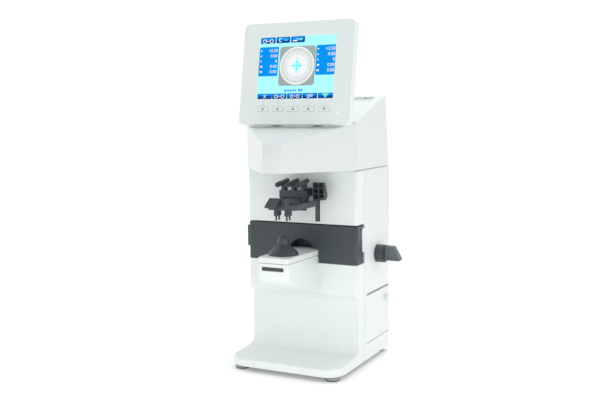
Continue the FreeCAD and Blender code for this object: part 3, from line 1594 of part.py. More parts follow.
def make_display_inside():
    front = -s.screen_thickness
    edge = s.screen_rim - s.beside
    panel = box("screen_sheet", both(s.screen_width / 2 + edge), both(s.screen_height / 2 + edge), (front, 0))
    display_publish(group("display_panel", [panel]), "display_panel")
    rear = s.bezel_proud - s.key_depth - s.key_travel - s.beside
    across = both(s.display_width / 2 - s.display_corner)
    tall = (s.display_corner - s.display_below, s.display_above - s.display_corner)
    board = box("display_sheet", across, tall, (rear - s.display_board_thickness, rear))
    posts = []
    back = s.bezel_proud - s.display_back_depth + s.display_wall
    for x in both(s.display_width / 2 - s.display_corner * 2):
        for y in (s.display_corner * 2 - s.display_below, s.display_above - s.display_corner * 2):
            posts.append(rod("display_post", "z", (back, rear - s.display_board_thickness), x, y,
                             s.board_boss_radius))
    light = rod("indicator", "z", (rear, s.bezel_proud - s.beside), s.indicator_right, -s.indicator_below,
                s.indicator_radius - s.beside)
    display_publish(fuse("display_board", [board, light] + posts), "display_board")


def make_keys():
    top = s.bezel_proud + s.key_proud
    for index, x in enumerate(key_places(), start=1):
        body = new_body(f"key_{index}")
        add(body, "z", (s.bezel_proud - s.key_depth, top),
            rectangle((x - s.key_width / 2, x + s.key_width / 2),
                      (-s.key_below - s.key_height / 2, s.key_height / 2 - s.key_below)))
        round_edges(body, s.key_corner, "z", x=[x - s.key_width / 2, x + s.key_width / 2])
        display_publish(body, f"key_{index}")


def make_display_bracket():
    """Sole on the prow with two ears outside the display's lugs, and the pins they hold."""
    front = -s.hinge_reach - s.hinge_ear_front
    rear = s.hinge_ear_rear - s.hinge_reach
    top = s.hinge_level + s.hinge_lug_radius
    inner = s.hinge_lug_out + s.shadow_line
    outer = inner + s.hinge_ear_width
    body = new_body("display_bracket")
    ear = [(front, prow_top(front)), (rear, prow_top(rear)), (rear, top), (front, top)]
    for sign in (-1, 1):
        near, far = sign * inner, sign * outer
        span = (near, far) if sign > 0 else (far, near)
        add(body, "x", span, ear)
        round_edges(body, s.hinge_lug_radius / 2, "x", y=[front], z=[top])
        remove(body, "x", span, Disc(-s.hinge_reach, s.hinge_level, s.hinge_pin_radius))
    publish(body, "display_bracket")


def make_hinge_pins():
    outer = s.hinge_lug_out + s.shadow_line + s.hinge_ear_width
    pins = []
    for span in ((s.hinge_lug_in - s.shadow_line, outer), (-outer, s.shadow_line - s.hinge_lug_in)):
        pins.append(rod("hinge_pin", "x", span, -s.hinge_reach, s.hinge_level, s.hinge_pin_radius))
    publish(group("hinge_pins", pins), "hinge_pins")


# Button across the front of the nose.

def make_nose_button():
    body = new_body("nose_button")
    front = -s.nose_reach - s.button_proud
    add(body, "y", (front, front + s.button_depth),
        rectangle(both(s.button_half_width), (s.button_low, s.button_low + s.button_height)))
    ends = both(s.button_half_width)
    levels = [s.button_low, s.button_low + s.button_height]
    round_edges(body, s.button_height / 2 - s.running, "y", x=ends, z=levels)
    publish(body, "nose_button")


# Printer behind the door in the right-hand side.

def make_printer_door():
    outer = half
    inner = half - s.door_thickness
    low = s.door_low + s.door_play
    high = s.door_high - s.paper_slot
    front = s.door_front + s.door_play
    rear = door_rear - s.door_play
    bevel = s.door_bevel
    body = new_body("printer_door")
    add(body, "y", (front, rear),
        [(inner + bevel, low), (outer - bevel, low), (outer, low + bevel), (outer, high),
         (inner, high), (inner, low + bevel)])
    pivot = Disc(half - s.door_pin_in, s.door_low + s.door_pin_up, s.door_pin_radius)
    hold = s.door_pin_hold - s.beside
    add(body, "y", (s.door_front - hold, door_rear + hold), pivot)
    remove(body, "x", (inner - s.overrun, outer + s.overrun),
           Disc(knob_at, s.knob_level, s.knob_stem_radius + s.running))
    publish(body, "printer_door")


def make_door_latch():
    """Round knob on the door, with a stem through it and a catch bar behind it."""
    wall_face = half - s.wall - s.beside
    bar = (wall_face - s.knob_bar_thickness, wall_face)
    solid = fuse("door_latch", [
        rod("latch_knob", "x", (half + s.beside, half + s.knob_proud), knob_at, s.knob_level, s.knob_radius),
        rod("latch_stem", "x", (bar[0], half + s.knob_proud - s.wall), knob_at, s.knob_level,
            s.knob_stem_radius),
        box("latch_bar", bar, (knob_at - s.knob_bar_width / 2, knob_at + s.knob_bar_width / 2),
            (s.knob_level - s.knob_bar_width / 2, s.knob_level + s.knob_inset + s.knob_bar_hold)),
    ])
    publish(solid, "door_latch")


def make_printer_bucket():
    wall = s.printer_wall
    depth = (s.printer_front, printer_rear)
    outer = box("bucket_outer", (s.printer_left, printer_right), depth, (s.printer_low, s.printer_high))
    inner = box("bucket_inner", (s.printer_left + wall, printer_right + s.overrun),
                (depth[0] + wall, depth[1] - wall), (s.printer_low + wall, s.printer_high - wall))
    legs = []
    for y in (depth[0], depth[1] - s.printer_leg):
        legs.append(box("bucket_leg", (s.printer_left, printer_right - s.printer_leg), (y, y + s.printer_leg),
                        (floor_top + s.frame_sheet, s.printer_low)))
    across = (depth[0] - s.overrun, depth[1] + s.overrun)
    bores = [
        rod("spindle_bore", "y", across, s.roll_at, s.roll_level, s.journal_radius + s.running),
        rod("platen_bore", "y", across, platen_at, s.platen_level, s.platen_shaft_radius + s.running),
    ]
    publish(cut("printer_bucket", fuse("bucket_solid", [outer] + legs), [inner] + bores), "printer_bucket")


def make_paper_roll():
    middle = (s.printer_front + printer_rear) / 2
    width = (middle - roll_width / 2, middle + roll_width / 2)
    roll = rod("roll_outer", "y", width, s.roll_at, s.roll_level, s.roll_radius)
    core = rod("roll_inner", "y", (width[0] - s.overrun, width[1] + s.overrun), s.roll_at, s.roll_level,
               s.roll_core + s.running)
    publish(cut("paper_roll", roll, [core]), "paper_roll")
    spindle = fuse("roll_spindle", [
        rod("spindle_core", "y", (width[0] - s.wall, width[1] + s.wall), s.roll_at, s.roll_level,
            s.roll_core),
        rod("spindle_journal", "y", (s.printer_front, printer_rear), s.roll_at, s.roll_level,
            s.journal_radius),
    ])
    publish(spindle, "roll_spindle")


def make_platen():
    middle = (s.printer_front + printer_rear) / 2
    width = (middle - roll_width / 2, middle + roll_width / 2)
    sleeve = rod("platen_outer", "y", width, platen_at, s.platen_level, s.platen_radius)
    core = rod("platen_inner", "y", (width[0] - s.overrun, width[1] + s.overrun), platen_at, s.platen_level,
               s.platen_shaft_radius)
    publish(cut("platen_roller", sleeve, [core]), "platen_roller")
    shaft = rod("platen_steel", "y", (s.printer_front, printer_rear), platen_at, s.platen_level,
                s.platen_shaft_radius)
    publish(group("platen_shaft", [shaft]), "platen_shaft")
    right = platen_at - s.platen_radius - s.beside
    block = box("thermal_block", (right - s.thermal_width, right), width,
                (s.platen_level - s.thermal_height / 2, s.printer_high - s.printer_wall))
    publish(group("thermal_head", [block]), "thermal_head")


def make_cover_screws():
    screws = []
    for x in both(s.screw_side):
        for z in (s.screw_level_low, s.screw_level_high):
            screws.append(fuse("screw", [
                rod("screw_head", "y", (s.body_depth, s.body_depth + s.screw_head_height), x, z,
                    s.screw_head_radius),
                rod("screw_shank", "y", (frame_rear - s.frame_sheet, s.body_depth), x, z, s.screw_radius),
            ]))
    publish(group("cover_screws", screws), "cover_screws")


make_lower_cover()
make_upper_cover()
make_rear_cover()
make_bottom_plate()
make_feet()
make_nose_lid()
make_head_cover()
make_head_floor()
make_lamp()
make_nosepiece()
make_sensor()
make_chassis()
make_band_panel()
make_main_board()
make_power_supply()
make_power_inlet()
make_lens_table()
make_table_rods()
make_table_rack()
make_lever()
make_lever_pinion()
make_lever_bearing()
make_lens_holder()
make_marker_lug()
make_marker_frame()
make_pens()
make_marker_handle()
make_display_bezel()
make_display_back()
make_display_inside()
make_keys()
make_display_bracket()
make_hinge_pins()
make_nose_button()
make_printer_door()
make_door_latch()
make_printer_bucket()
make_paper_roll()
make_platen()
make_cover_screws()
doc.recompute()

for thing in doc.Objects:
    if "Invalid" in thing.State or "Error" in thing.State:
        raise RuntimeError(f"{thing.Label} did not compute")
for thing in subparts:
    if thing.Shape.isNull() or not thing.Shape.isValid():
        raise RuntimeError(f"{thing.Label} has no sound shape")

os.makedirs("parts", exist_ok=True)
for thing in subparts:
    thing.Shape.exportStep(f"parts/{thing.Label}.step")
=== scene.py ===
import json
import math

import bpy
from mathutils import Matrix, Vector


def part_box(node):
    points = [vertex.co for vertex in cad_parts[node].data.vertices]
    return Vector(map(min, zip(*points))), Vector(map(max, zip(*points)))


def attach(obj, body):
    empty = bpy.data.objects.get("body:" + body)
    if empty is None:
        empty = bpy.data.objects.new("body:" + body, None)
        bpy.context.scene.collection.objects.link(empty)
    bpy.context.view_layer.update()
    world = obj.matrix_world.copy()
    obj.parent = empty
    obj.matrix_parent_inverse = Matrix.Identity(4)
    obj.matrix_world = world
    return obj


# An automatic lensmeter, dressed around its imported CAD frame. Blender works in metres. Lengths
# here are millimetres unless a comment says metres, and are multiplied by MM where they are used.

MM = 0.001
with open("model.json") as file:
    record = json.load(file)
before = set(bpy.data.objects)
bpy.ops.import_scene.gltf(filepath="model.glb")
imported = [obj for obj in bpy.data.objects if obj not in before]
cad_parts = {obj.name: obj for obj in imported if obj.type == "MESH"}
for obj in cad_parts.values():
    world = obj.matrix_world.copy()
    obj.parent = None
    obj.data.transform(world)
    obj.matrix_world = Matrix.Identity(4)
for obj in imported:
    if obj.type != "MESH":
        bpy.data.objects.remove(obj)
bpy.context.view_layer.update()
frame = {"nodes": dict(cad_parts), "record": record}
nodes = frame["nodes"]
record = frame["record"]


# Materials.

def opaque(colour):
    return (*colour, 1.0)


def new_material(name):
    material = bpy.data.materials.new(name)
    material.use_nodes = True
    return material, material.node_tree.nodes["Principled BSDF"]


def set_inputs(shader, values):
    """Sets the shader's own sockets from a table; colours are given as three numbers."""
    for name, value in values.items():
        shader.inputs[name].default_value = opaque(value) if isinstance(value, tuple) else value


def add_noise(tree, place, scale, detail):
    noise = tree.nodes.new("ShaderNodeTexNoise")
    noise.inputs["Scale"].default_value = scale
    noise.inputs["Detail"].default_value = detail
    tree.links.new(place, noise.inputs["Vector"])
    return noise.outputs["Fac"]


def add_ramp(tree, source, stops):
    """Colour ramp from (position, colour) stops, read at the value of a socket."""
    ramp = tree.nodes.new("ShaderNodeValToRGB")
    while len(ramp.color_ramp.elements) < len(stops):
        ramp.color_ramp.elements.new(0.5)
    for element, (position, colour) in zip(ramp.color_ramp.elements, stops):
        element.position = position
        element.color = opaque(colour)
    tree.links.new(source, ramp.inputs["Fac"])
    return ramp.outputs["Color"]


GRAIN_DEPTH = 0.1
CLOUD_SCALE = 22.0


def moulded(name, colour, roughness, grain=2600.0, relief=0.02, spread=0.03, metallic=0.0):
    """Moulded plastic: an even colour that varies a little, with a fine grain in its surface."""
    material, shader = new_material(name)
    set_inputs(shader, {"Roughness": roughness, "Base Color": colour, "Metallic": metallic})
    tree = material.node_tree
    place = tree.nodes.new("ShaderNodeTexCoord").outputs["Object"]
    bump = tree.nodes.new("ShaderNodeBump")
    bump.inputs["Strength"].default_value = relief
    bump.inputs["Distance"].default_value = GRAIN_DEPTH * MM
    tree.links.new(add_noise(tree, place, grain, 2.0), bump.inputs["Height"])
    tree.links.new(bump.outputs["Normal"], shader.inputs["Normal"])
    darker = tuple(part * (1.0 - spread) for part in colour)
    clouds = add_ramp(tree, add_noise(tree, place, CLOUD_SCALE, 3.0), [(0.3, darker), (0.7, colour)])
    tree.links.new(clouds, shader.inputs["Base Color"])
    return material


def metal(name, colour, roughness, relief=0.03):
    return moulded(name, colour, roughness, grain=900.0, relief=relief, spread=0.08, metallic=1.0)


def lit(name, colour, strength):
    """A flat part of the picture on the screen: it glows a little by itself."""
    material, shader = new_material(name)
    unlit = tuple(part * 0.25 for part in colour)
    set_inputs(shader, {"Base Color": unlit, "Roughness": 0.5, "Specular IOR Level": 0.04,
                        "Emission Color": colour, "Emission Strength": strength})
    return material


def shaded(name, base, stops, roughness, axis, node_type="ShaderNodeTexCoord", output="Generated"):
    """Plastic whose colour follows one axis: of the piece's own box, or of another node's output."""
    material, shader = new_material(name)
    set_inputs(shader, {"Roughness": roughness, "Base Color": base})
    tree = material.node_tree
    split = tree.nodes.new("ShaderNodeSeparateXYZ")
    tree.links.new(tree.nodes.new(node_type).outputs[output], split.inputs["Vector"])
    tree.links.new(add_ramp(tree, split.outputs[axis], stops), shader.inputs["Base Color"])
    return material


def painted_light_on_top(name, side, top, roughness):
    """Plastic with painted light: paler where its surface faces up, as if lit from above."""
    stops = [(0.55, side), (0.9, top)]
    return shaded(name, side, stops, roughness, "Z", "ShaderNodeNewGeometry", "Normal")


def clear_glass(name):
    material, shader = new_material(name)
    set_inputs(shader, {"Base Color": (0.9, 0.95, 0.95), "Roughness": 0.02, "IOR": 1.5,
                        "Transmission Weight": 1.0})
    return material


WHITE = (0.745, 0.800, 0.788)
BEZEL_WHITE = (0.745, 0.810, 0.800)
# The rear cover: a greyer white towards its top, as painted shade.
REAR_PAINTED_SHADE_WHITE = (0.700, 0.752, 0.741)
# The head cover: a greyer white as painted shade on its sides, and a paler white as painted light on its
# faces that look up.
HEAD_PAINTED_SHADE_WHITE = (0.690, 0.742, 0.731)
HEAD_PAINTED_LIGHT_WHITE = (0.820, 0.880, 0.867)
DARK = (0.040, 0.054, 0.060)
# The lever's blade: a lighter grey than the hub, a painted sheen where its face catches the light.
BLADE_PAINTED_SHEEN_GREY = (0.125, 0.150, 0.158)
FOOT_GREY = (0.27, 0.285, 0.30)
# The feet: rubber grey, with painted shade darkening the bottom of each foot where it meets the floor.
FOOT_PAINTED_SHADE_STOPS = [(0.0, (0.05, 0.055, 0.06)), (0.22, (0.10, 0.11, 0.12)), (0.3, FOOT_GREY)]
LEVER_PAINTED_SHEEN_STOPS = [(0.0, DARK), (0.34, DARK), (0.38, BLADE_PAINTED_SHEEN_GREY)]
REAR_PAINTED_SHADE_STOPS = [(0.0, WHITE), (0.45, WHITE), (0.8, REAR_PAINTED_SHADE_WHITE)]

finish_of = {
    "cover_white": moulded("cover_white", WHITE, 0.38, relief=0.03, spread=0.015),
    "display_white": moulded("display_white", BEZEL_WHITE, 0.32, relief=0.02, spread=0.01),
    "dark_grey": moulded("dark_grey", DARK, 0.42, relief=0.08, spread=0.12),
    "black_plastic": moulded("black_plastic", (0.022, 0.024, 0.026), 0.45, relief=0.06, spread=0.1),
    "pin_grey": moulded("pin_grey", (0.036, 0.049, 0.054), 0.4, relief=0.04, spread=0.1),
    "clear_grey": moulded("clear_grey", (0.80, 0.83, 0.83), 0.18, relief=0.0, spread=0.03),
    "frame_sheet": metal("frame_sheet", (0.55, 0.56, 0.57), 0.38),
    "steel": metal("steel", (0.66, 0.67, 0.68), 0.22),
    "bronze": metal("bronze", (0.50, 0.34, 0.16), 0.4),
    "cast_alloy": metal("cast_alloy", (0.60, 0.61, 0.62), 0.45, relief=0.15),
    "pale_plastic": moulded("pale_plastic", (0.50, 0.50, 0.47), 0.5),
    "rubber": moulded("rubber", (0.20, 0.21, 0.22), 0.7, relief=0.2, spread=0.2),
    "paper": moulded("paper", (0.84, 0.84, 0.81), 0.7, relief=0.1),
    "board_green": moulded("board_green", (0.02, 0.12, 0.06), 0.4, relief=0.05, spread=0.25),
    "screen": lit("screen", (0.43, 1.0, 1.0), 0.77),
    "lens_glass": clear_glass("lens_glass"),
}

# Nodes with a finish of their own. The feet, lever, head and rear cover carry painted light and shade in
# their colour; the rail is a darker steel.
own_finish = {
    # The feet: painted shade at their bottoms.
    "feet": shaded("foot_rubber", FOOT_GREY, FOOT_PAINTED_SHADE_STOPS, 0.6, "Z"),
    # The lever: dark hub, blade lighter as a painted sheen.
    "lever_knob": shaded("lever_grey", BLADE_PAINTED_SHEEN_GREY, LEVER_PAINTED_SHEEN_STOPS, 0.42, "X"),
    # The head cover: painted shade on its sides, painted light on its faces that look up.
    "head_cover": painted_light_on_top("head_white", HEAD_PAINTED_SHADE_WHITE, HEAD_PAINTED_LIGHT_WHITE, 0.38),
    # The rear cover: white below, darker towards its top as painted shade.
    "rear_cover": shaded("rear_white", REAR_PAINTED_SHADE_WHITE, REAR_PAINTED_SHADE_STOPS, 0.38, "Z"),
    "holder_rail": metal("rail_steel", (0.20, 0.205, 0.19), 0.5),
}

PICTURE = {
    "blue": lit("picture_blue", (0.0, 0.285, 0.86), 0.8),
    "deep_blue": lit("picture_deep_blue", (0.0, 0.07, 0.34), 0.78),
    "bright_blue": lit("picture_bright_blue", (0.004, 0.30, 0.96), 0.78),
    "white": lit("picture_white", (0.93, 0.95, 0.97), 0.75),
    "soft": lit("picture_soft", (0.80, 0.83, 0.84), 0.75),
    "pale": lit("picture_pale", (0.72, 0.76, 0.76), 0.75),
    "mist": lit("picture_mist", (0.66, 0.71, 0.71), 0.75),
    "grey": lit("picture_grey", (0.36, 0.43, 0.42), 0.75),
    "cyan": lit("picture_cyan", (0.13, 0.93, 1.0), 0.8),
    "mint": lit("picture_mint", (0.20, 0.85, 0.66), 0.75),
}
print_grey = moulded("print_grey", (0.16, 0.18, 0.18), 0.5)
# Grey of the printed lines above the keys, and of the painted shade in the seams round them.
line_grey = moulded("line_grey", (0.48, 0.52, 0.51), 0.5)
# Cream of painted light, for the wall of the screen's recess lit by the screen.
lip_cream = moulded("lip_cream", (0.90, 0.89, 0.80), 0.4)
lamp_on = lit("lamp_on", (0.86, 0.96, 0.45), 1.1)
# Greys of painted shade, for the gap under the head, the paper slot and the wall of the rail's slot.
gap_grey = moulded("gap_grey", (0.40, 0.43, 0.42), 0.6)
slot_grey = moulded("slot_grey", (0.30, 0.31, 0.28), 0.6)
# Black of painted shade, on the floors of the handle's cells.
cell_black = moulded("cell_black", (0.012, 0.014, 0.015), 0.7)


# The CAD nodes: finish and softened edges.

EDGE_WIDTH = {
    "lower_cover": 0.9, "upper_cover": 0.7, "rear_cover": 0.7, "head_cover": 1.2, "nose_lid": 0.5,
    "display_bezel": 0.7, "display_back": 1.4, "printer_door": 0.5, "lens_table": 0.7,
    "lever_knob": 0.7, "holder_arm": 0.6, "marker_frame": 0.5, "marker_handle": 0.4,
    "pin_sockets": 0.4, "marker_lug": 0.5, "feet": 0.5, "nose_button": 0.5, "door_latch": 0.6,
    "power_inlet": 0.3, "power_switch": 0.4, "cover_screws": 0.3, "marker_pens": 0.35,
    "display_bracket": 0.4,
}
KEY_COUNT = 5
for number in range(1, KEY_COUNT + 1):
    EDGE_WIDTH[f"key_{number}"] = 0.25

WELD_WITHIN = 0.004
FLAT_WITHIN = math.radians(0.6)
SHARP_FROM = math.radians(32.0)


def soften(obj, width):
    """Breaks the sharp edges of a piece by a small width, as moulded and machined pieces have them."""
    weld = obj.modifiers.new("weld", "WELD")
    weld.merge_threshold = WELD_WITHIN * MM
    merge = obj.modifiers.new("flat_faces", "DECIMATE")
    merge.decimate_type = "DISSOLVE"
    merge.angle_limit = FLAT_WITHIN
    bevel = obj.modifiers.new("soft_edges", "BEVEL")
    bevel.width = width * MM
    bevel.segments = 2
    bevel.limit_method = "ANGLE"
    bevel.angle_limit = SHARP_FROM
    bevel.harden_normals = True


slot_of = {part["node"]: part["material_slot"] for part in record["subparts"]}
for name, node in nodes.items():
    node.data.materials.clear()
    node.data.materials.append(own_finish.get(name, finish_of[slot_of[name]]))
    if name in EDGE_WIDTH:
        soften(node, EDGE_WIDTH[name])


# The screen's own frame: across, up the screen and out of it, from the middle of its front.

TILT = math.radians(9.8)
ACROSS = Vector((1, 0, 0))
UP = Vector((0, math.sin(TILT), math.cos(TILT)))
OUT = Vector((0, -math.cos(TILT), math.sin(TILT)))


def screen_centre():
    """Middle of the screen's front: the panel's box is that of a tilted slab."""
    low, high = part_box("display_panel")
    slab_depth = (high.y - low.y) - (high.z - low.z) * math.tan(TILT)
    thickness = slab_depth / (math.cos(TILT) - math.sin(TILT) * math.tan(TILT))
    return (low + high) / 2 + OUT * thickness / 2


ON_SCREEN = Matrix.Translation(screen_centre()) @ Matrix((ACROSS, UP, OUT)).transposed().to_4x4()


def add_piece(name, mesh, material, body, place=None):
    """Makes a mesh a piece of the scene: its finish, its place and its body."""
    mesh.materials.clear()
    mesh.materials.append(material)
    piece = bpy.data.objects.new(name, mesh)
    bpy.context.collection.objects.link(piece)
    if place is not None:
        piece.matrix_world = place
    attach(piece, body)


def flat_piece(name, outlines, lift, material, body="display", thickness=0.03):
    """Closed thin plates from outlines of (across, up) points, with their faces lifted off the screen."""
    vertices = []
    faces = []
    for points in outlines:
        start = len(vertices)
        count = len(points)
        for level in (lift - thickness, lift):
            vertices += [(across * MM, up * MM, level * MM) for across, up in points]
        faces.append([start + count + index for index in range(count)])
        faces.append([start + index for index in reversed(range(count))])
        for index in range(count):
            one, two = start + index, start + (index + 1) % count
            faces.append([one, two, count + two, count + one])
    mesh = bpy.data.meshes.new(name)
    mesh.from_pydata(vertices, [], faces)
    add_piece(name, mesh, material, body, ON_SCREEN)


# Outlines. A span is a (low, high) pair.

def around(middle, half):
    return (middle - half, middle + half)


def inside(span, margin):
    return (span[0] + margin, span[1] - margin)


def middle_of(span):
    return (span[0] + span[1]) / 2


def on_circle(x, y, radius, degrees):
    angle = math.radians(degrees)
    return (x + radius * math.cos(angle), y + radius * math.sin(angle))


def panel(across, up, corner=0.0, steps=5):
    """Rectangle from two spans, with rounded corners."""
    if corner == 0.0:
        return [(across[0], up[0]), (across[1], up[0]), (across[1], up[1]), (across[0], up[1])]
    points = []
    left, right = inside(across, corner)
    low, high = inside(up, corner)
    for x, y, first in ((right, low, -90), (right, high, 0), (left, high, 90), (left, low, 180)):
        points += [on_circle(x, y, corner, first + 90 * step / steps) for step in range(steps + 1)]
    return points


def disc(x, y, radius, steps=48):
    return [on_circle(x, y, radius, 360 * step / steps) for step in range(steps)]


def ring(x, y, outer, inner, steps=48, first=0, last=360):
    """A ring as short quads, so that each one is a plain outline."""
    quads = []
    for step in range(steps):
        one, two = (first + (last - first) * (step + more) / steps for more in (0, 1))
        quads.append([on_circle(x, y, inner, one), on_circle(x, y, outer, one),
                      on_circle(x, y, outer, two), on_circle(x, y, inner, two)])
    return quads


def ring_pair(x, y, apart, outer, inner, steps=20):
    return ring(x - apart, y, outer, inner, steps) + ring(x + apart, y, outer, inner, steps)


def spectacles(x, y, apart, outer, inner):
    bridge = panel(around(x, 2.6), around(y, 0.3))
    return ring_pair(x, y, apart, outer, inner) + [bridge]


def frame_round(x, y, inner, outer):
    """Four strips around a rectangle, from half widths and half heights."""
    return [panel(around(x, outer[0]), (y + inner[1], y + outer[1])),
            panel(around(x, outer[0]), (y - outer[1], y - inner[1])),
            panel((x - outer[0], x - inner[0]), around(y, inner[1])),
            panel((x + inner[0], x + outer[0]), around(y, inner[1]))]


# The picture on the screen. Its pieces lie in thin layers, LAYER apart.

LAYER = 0.04
TABS = ((-57.6, -34.8), (-33.4, -12.2), (-10.7, 10.6))
TAB_UP = (34.6, 43.1)
TAB_LIGHT_UP = (38.6, 42.3)
SOFT_KEYS = ((-57.2, -34.9), (-34.5, -12.0), (-11.0, 11.6), (12.3, 34.6), (35.8, 58.4))
SOFT_KEY_UP = (-43.1, -35.4)
SOFT_KEY_LIGHT_UP = (-38.8, -36.2)
BLOCKS = ((-58.4, -28.6), (29.1, 58.4))
BLOCK_UP = (-11.0, 29.8)
TARGET = (0.9, 2.6)
TARGET_GROUND = ((-26.5, 28.4), (-24.8, 29.5))


def draw_tabs_and_blocks():
    tabs = [panel(tab, TAB_UP, 1.6) for tab in TABS]
    flat_piece("picture_tabs", tabs, LAYER, PICTURE["deep_blue"])
    lights = [panel(inside(tab, 2.0), TAB_LIGHT_UP, 1.2) for tab in TABS]
    flat_piece("picture_tabs_light", lights, LAYER * 2, PICTURE["bright_blue"])
    blocks = [panel(block, BLOCK_UP, 1.8) for block in BLOCKS]
    flat_piece("picture_blocks", blocks, LAYER, PICTURE["blue"])


def draw_target():
    """Round target: a pale disc with rings, zones and marks, the hairs, and the sight in its middle."""
    x, y = TARGET
    rim, band, zone, near = 24.6, 20.2, 15.6, 11.4
    flat_piece("picture_target_ground", [panel(*TARGET_GROUND, 4.5)], LAYER, PICTURE["grey"])
    flat_piece("picture_target_disc", [disc(x, y, 26.2)], LAYER * 2, PICTURE["white"])
    rings = ring(x, y, zone, zone - 0.5) + ring(x, y, near, near - 0.4)
    flat_piece("picture_target_rings", rings, LAYER * 3, PICTURE["soft"])
    flat_piece("picture_target_band", ring(x, y, rim, band), LAYER * 3, PICTURE["pale"])
    flat_piece("picture_target_zone", ring(x, y, band, zone), LAYER * 3, PICTURE["soft"])
    mark_count = 24
    marks = []
    for step in range(mark_count):
        angle = 360 * step / mark_count
        marks += ring(x, y, 23.6, 21.2, 2, angle + 3.0, angle + 12.0)
    flat_piece("picture_target_marks", marks, LAYER * 4, PICTURE["mist"])
    half, start, end = 0.25, 8.5, 20.0
    hairs = [panel((x - end, x - start), around(y, half)), panel((x + start, x + end), around(y, half)),
             panel(around(x, half), (y + start, y + end)), panel(around(x, half), (y - end, y - start))]
    flat_piece("picture_target_hairs", hairs, LAYER * 4, PICTURE["mist"])
    reach, bar, tip, root, wing = 8.0, 1.05, 8.8, 6.2, 1.7
    sight = ring(x, y, 5.7, 4.2)
    sight += [panel(around(x, reach), around(y, bar)), panel(around(x, bar), around(y, reach))]
    for c, k in ((1, 0), (0, 1), (-1, 0), (0, -1)):
        sight.append([(x + c * tip, y + k * tip), (x + c * root - k * wing, y + k * root + c * wing),
                      (x + c * root + k * wing, y + k * root - c * wing)])
    flat_piece("picture_sight", sight, LAYER * 5, PICTURE["cyan"])


def draw_soft_keys():
    """Five keys along the screen's lower edge: cross, glasses, two lenses, two rings and an arrow."""
    keys = [panel(span, SOFT_KEY_UP, 1.4) for span in SOFT_KEYS]
    flat_piece("picture_soft_keys", keys, LAYER, PICTURE["deep_blue"])
    lights = [panel(inside(span, 1.5), SOFT_KEY_LIGHT_UP, 1.0) for span in SOFT_KEYS]
    flat_piece("picture_soft_keys_light", lights, LAYER * 2, PICTURE["bright_blue"])
    cross, glasses, lenses, rings, arrow = (middle_of(span) for span in SOFT_KEYS)
    low, high, near, far = -41.6, -36.9, 1.2, 2.2
    signs = [[(cross - side * far, low), (cross - side * near, low), (cross + side * far, high),
              (cross + side * near, high)] for side in (1, -1)]
    signs += spectacles(glasses, -39.4, 5.2, 2.7, 1.9)
    signs += ring_pair(lenses, -39.3, 4.6, 2.5, 1.7) + [disc(lenses, -39.3, 0.7, 12)]
    signs += ring(rings - 2.0, -39.6, 2.3, 1.3, 20) + ring(rings + 2.6, -38.6, 1.8, 1.0, 20)
    flat_piece("picture_signs", signs, LAYER * 3, PICTURE["white"])
    pointer = [(arrow - 6.0, -36.0), (arrow - 0.5, -42.2), (arrow + 5.0, -36.0)]
    flat_piece("picture_arrow", [pointer], LAYER * 3, PICTURE["mint"])


def draw_tab_signs():
    """Signs on the three tabs: glasses, an open ring and a corner, and bars beside the last two."""
    glasses, opened, corner = (middle_of(tab) for tab in TABS)
    signs = spectacles(glasses, 37.9, 5.4, 2.9, 2.0)
    signs += ring(opened - 4.0, 38.8, 2.8, 1.8, 16, 60, 300)
    signs += [panel((corner - 8.0, corner - 0.6), (36.3, 38.0), 0.6),
              panel((corner - 1.8, corner - 0.8), (36.3, 40.6))]
    flat_piece("picture_head_signs", signs, LAYER * 3, PICTURE["white"])
    tab_end = TABS[-1][1]
    bars = [panel((opened + 2.0, opened + 6.4), (38.0, 39.2)),
            panel((tab_end - 9.6, tab_end - 3.6), (37.6, 40.2), 0.6)]
    flat_piece("picture_head_bars", bars, LAYER * 3, PICTURE["mint"])


def draw_status():
    """A line of plain marks in the place of words."""
    left, gap, word_gap = -16.0, 0.8, 2.4
    marks = []
    for width in (2.4, 2.0, 1.6, 2.0, 1.2, 2.0, 2.2):
        marks.append(panel((left, left + width), (-32.8, -30.2)))
        left += width + gap
    for width in (2.6, 2.4):
        marks.append(panel((left + word_gap, left + word_gap + width), (-33.0, -29.6)))
        left += width + gap
    flat_piece("picture_status", marks, LAYER, PICTURE["bright_blue"])


FIGURE_HEIGHT = 4.3
FONT_HEIGHT_SHARE = 0.7
ROWS = (22.6, 15.2, 7.9, 0.6, -6.7)
READINGS = ("+2.50", "0.00", "0", "0.00", "0.00")


def draw_figures(name, text, right, base):
    """A number on the screen as a flat piece, set flush right."""
    curve = bpy.data.curves.new(name, "FONT")
    curve.body = text
    curve.size = FIGURE_HEIGHT * MM / FONT_HEIGHT_SHARE
    curve.align_x = "RIGHT"
    curve.extrude = 0.01 * MM
    curve.offset = 0.03 * MM
    drawn = bpy.data.objects.new(name + "_text", curve)
    bpy.context.collection.objects.link(drawn)
    bpy.context.view_layer.update()
    mesh = bpy.data.meshes.new_from_object(drawn.evaluated_get(bpy.context.evaluated_depsgraph_get()))
    bpy.data.objects.remove(drawn)
    spot = Matrix.Translation(Vector((right, base, LAYER * 2)) * MM)
    add_piece(name, mesh, PICTURE["white"], "display", ON_SCREEN @ spot)


def draw_readings():
    """Two columns of numbers, with a plain mark at the head of each row."""
    for side, right in (("left", -30.4), ("right", 57.2)):
        for row, (base, reading) in enumerate(zip(ROWS, READINGS), start=1):
            draw_figures(f"reading_{side}_{row}", reading, right, base)
        marks = [panel((right - 26.2, right - (22.6 if row > 2 else 24.4)), (base + 0.9, base + 3.1), 0.7)
                 for row, base in enumerate(ROWS)]
        flat_piece(f"reading_marks_{side}", marks, LAYER * 2, PICTURE["white"])


# The bezel's trim: the lip round the screen, painted light in cream; the printed lines and dots of the
# keys; the seams round the keys, painted shade in grey; and the indicator.

BEZEL_PROUD = 1.2
KEY_PROUD = 1.8
KEY_UP = -57.3
KEY_PITCH = 23.5


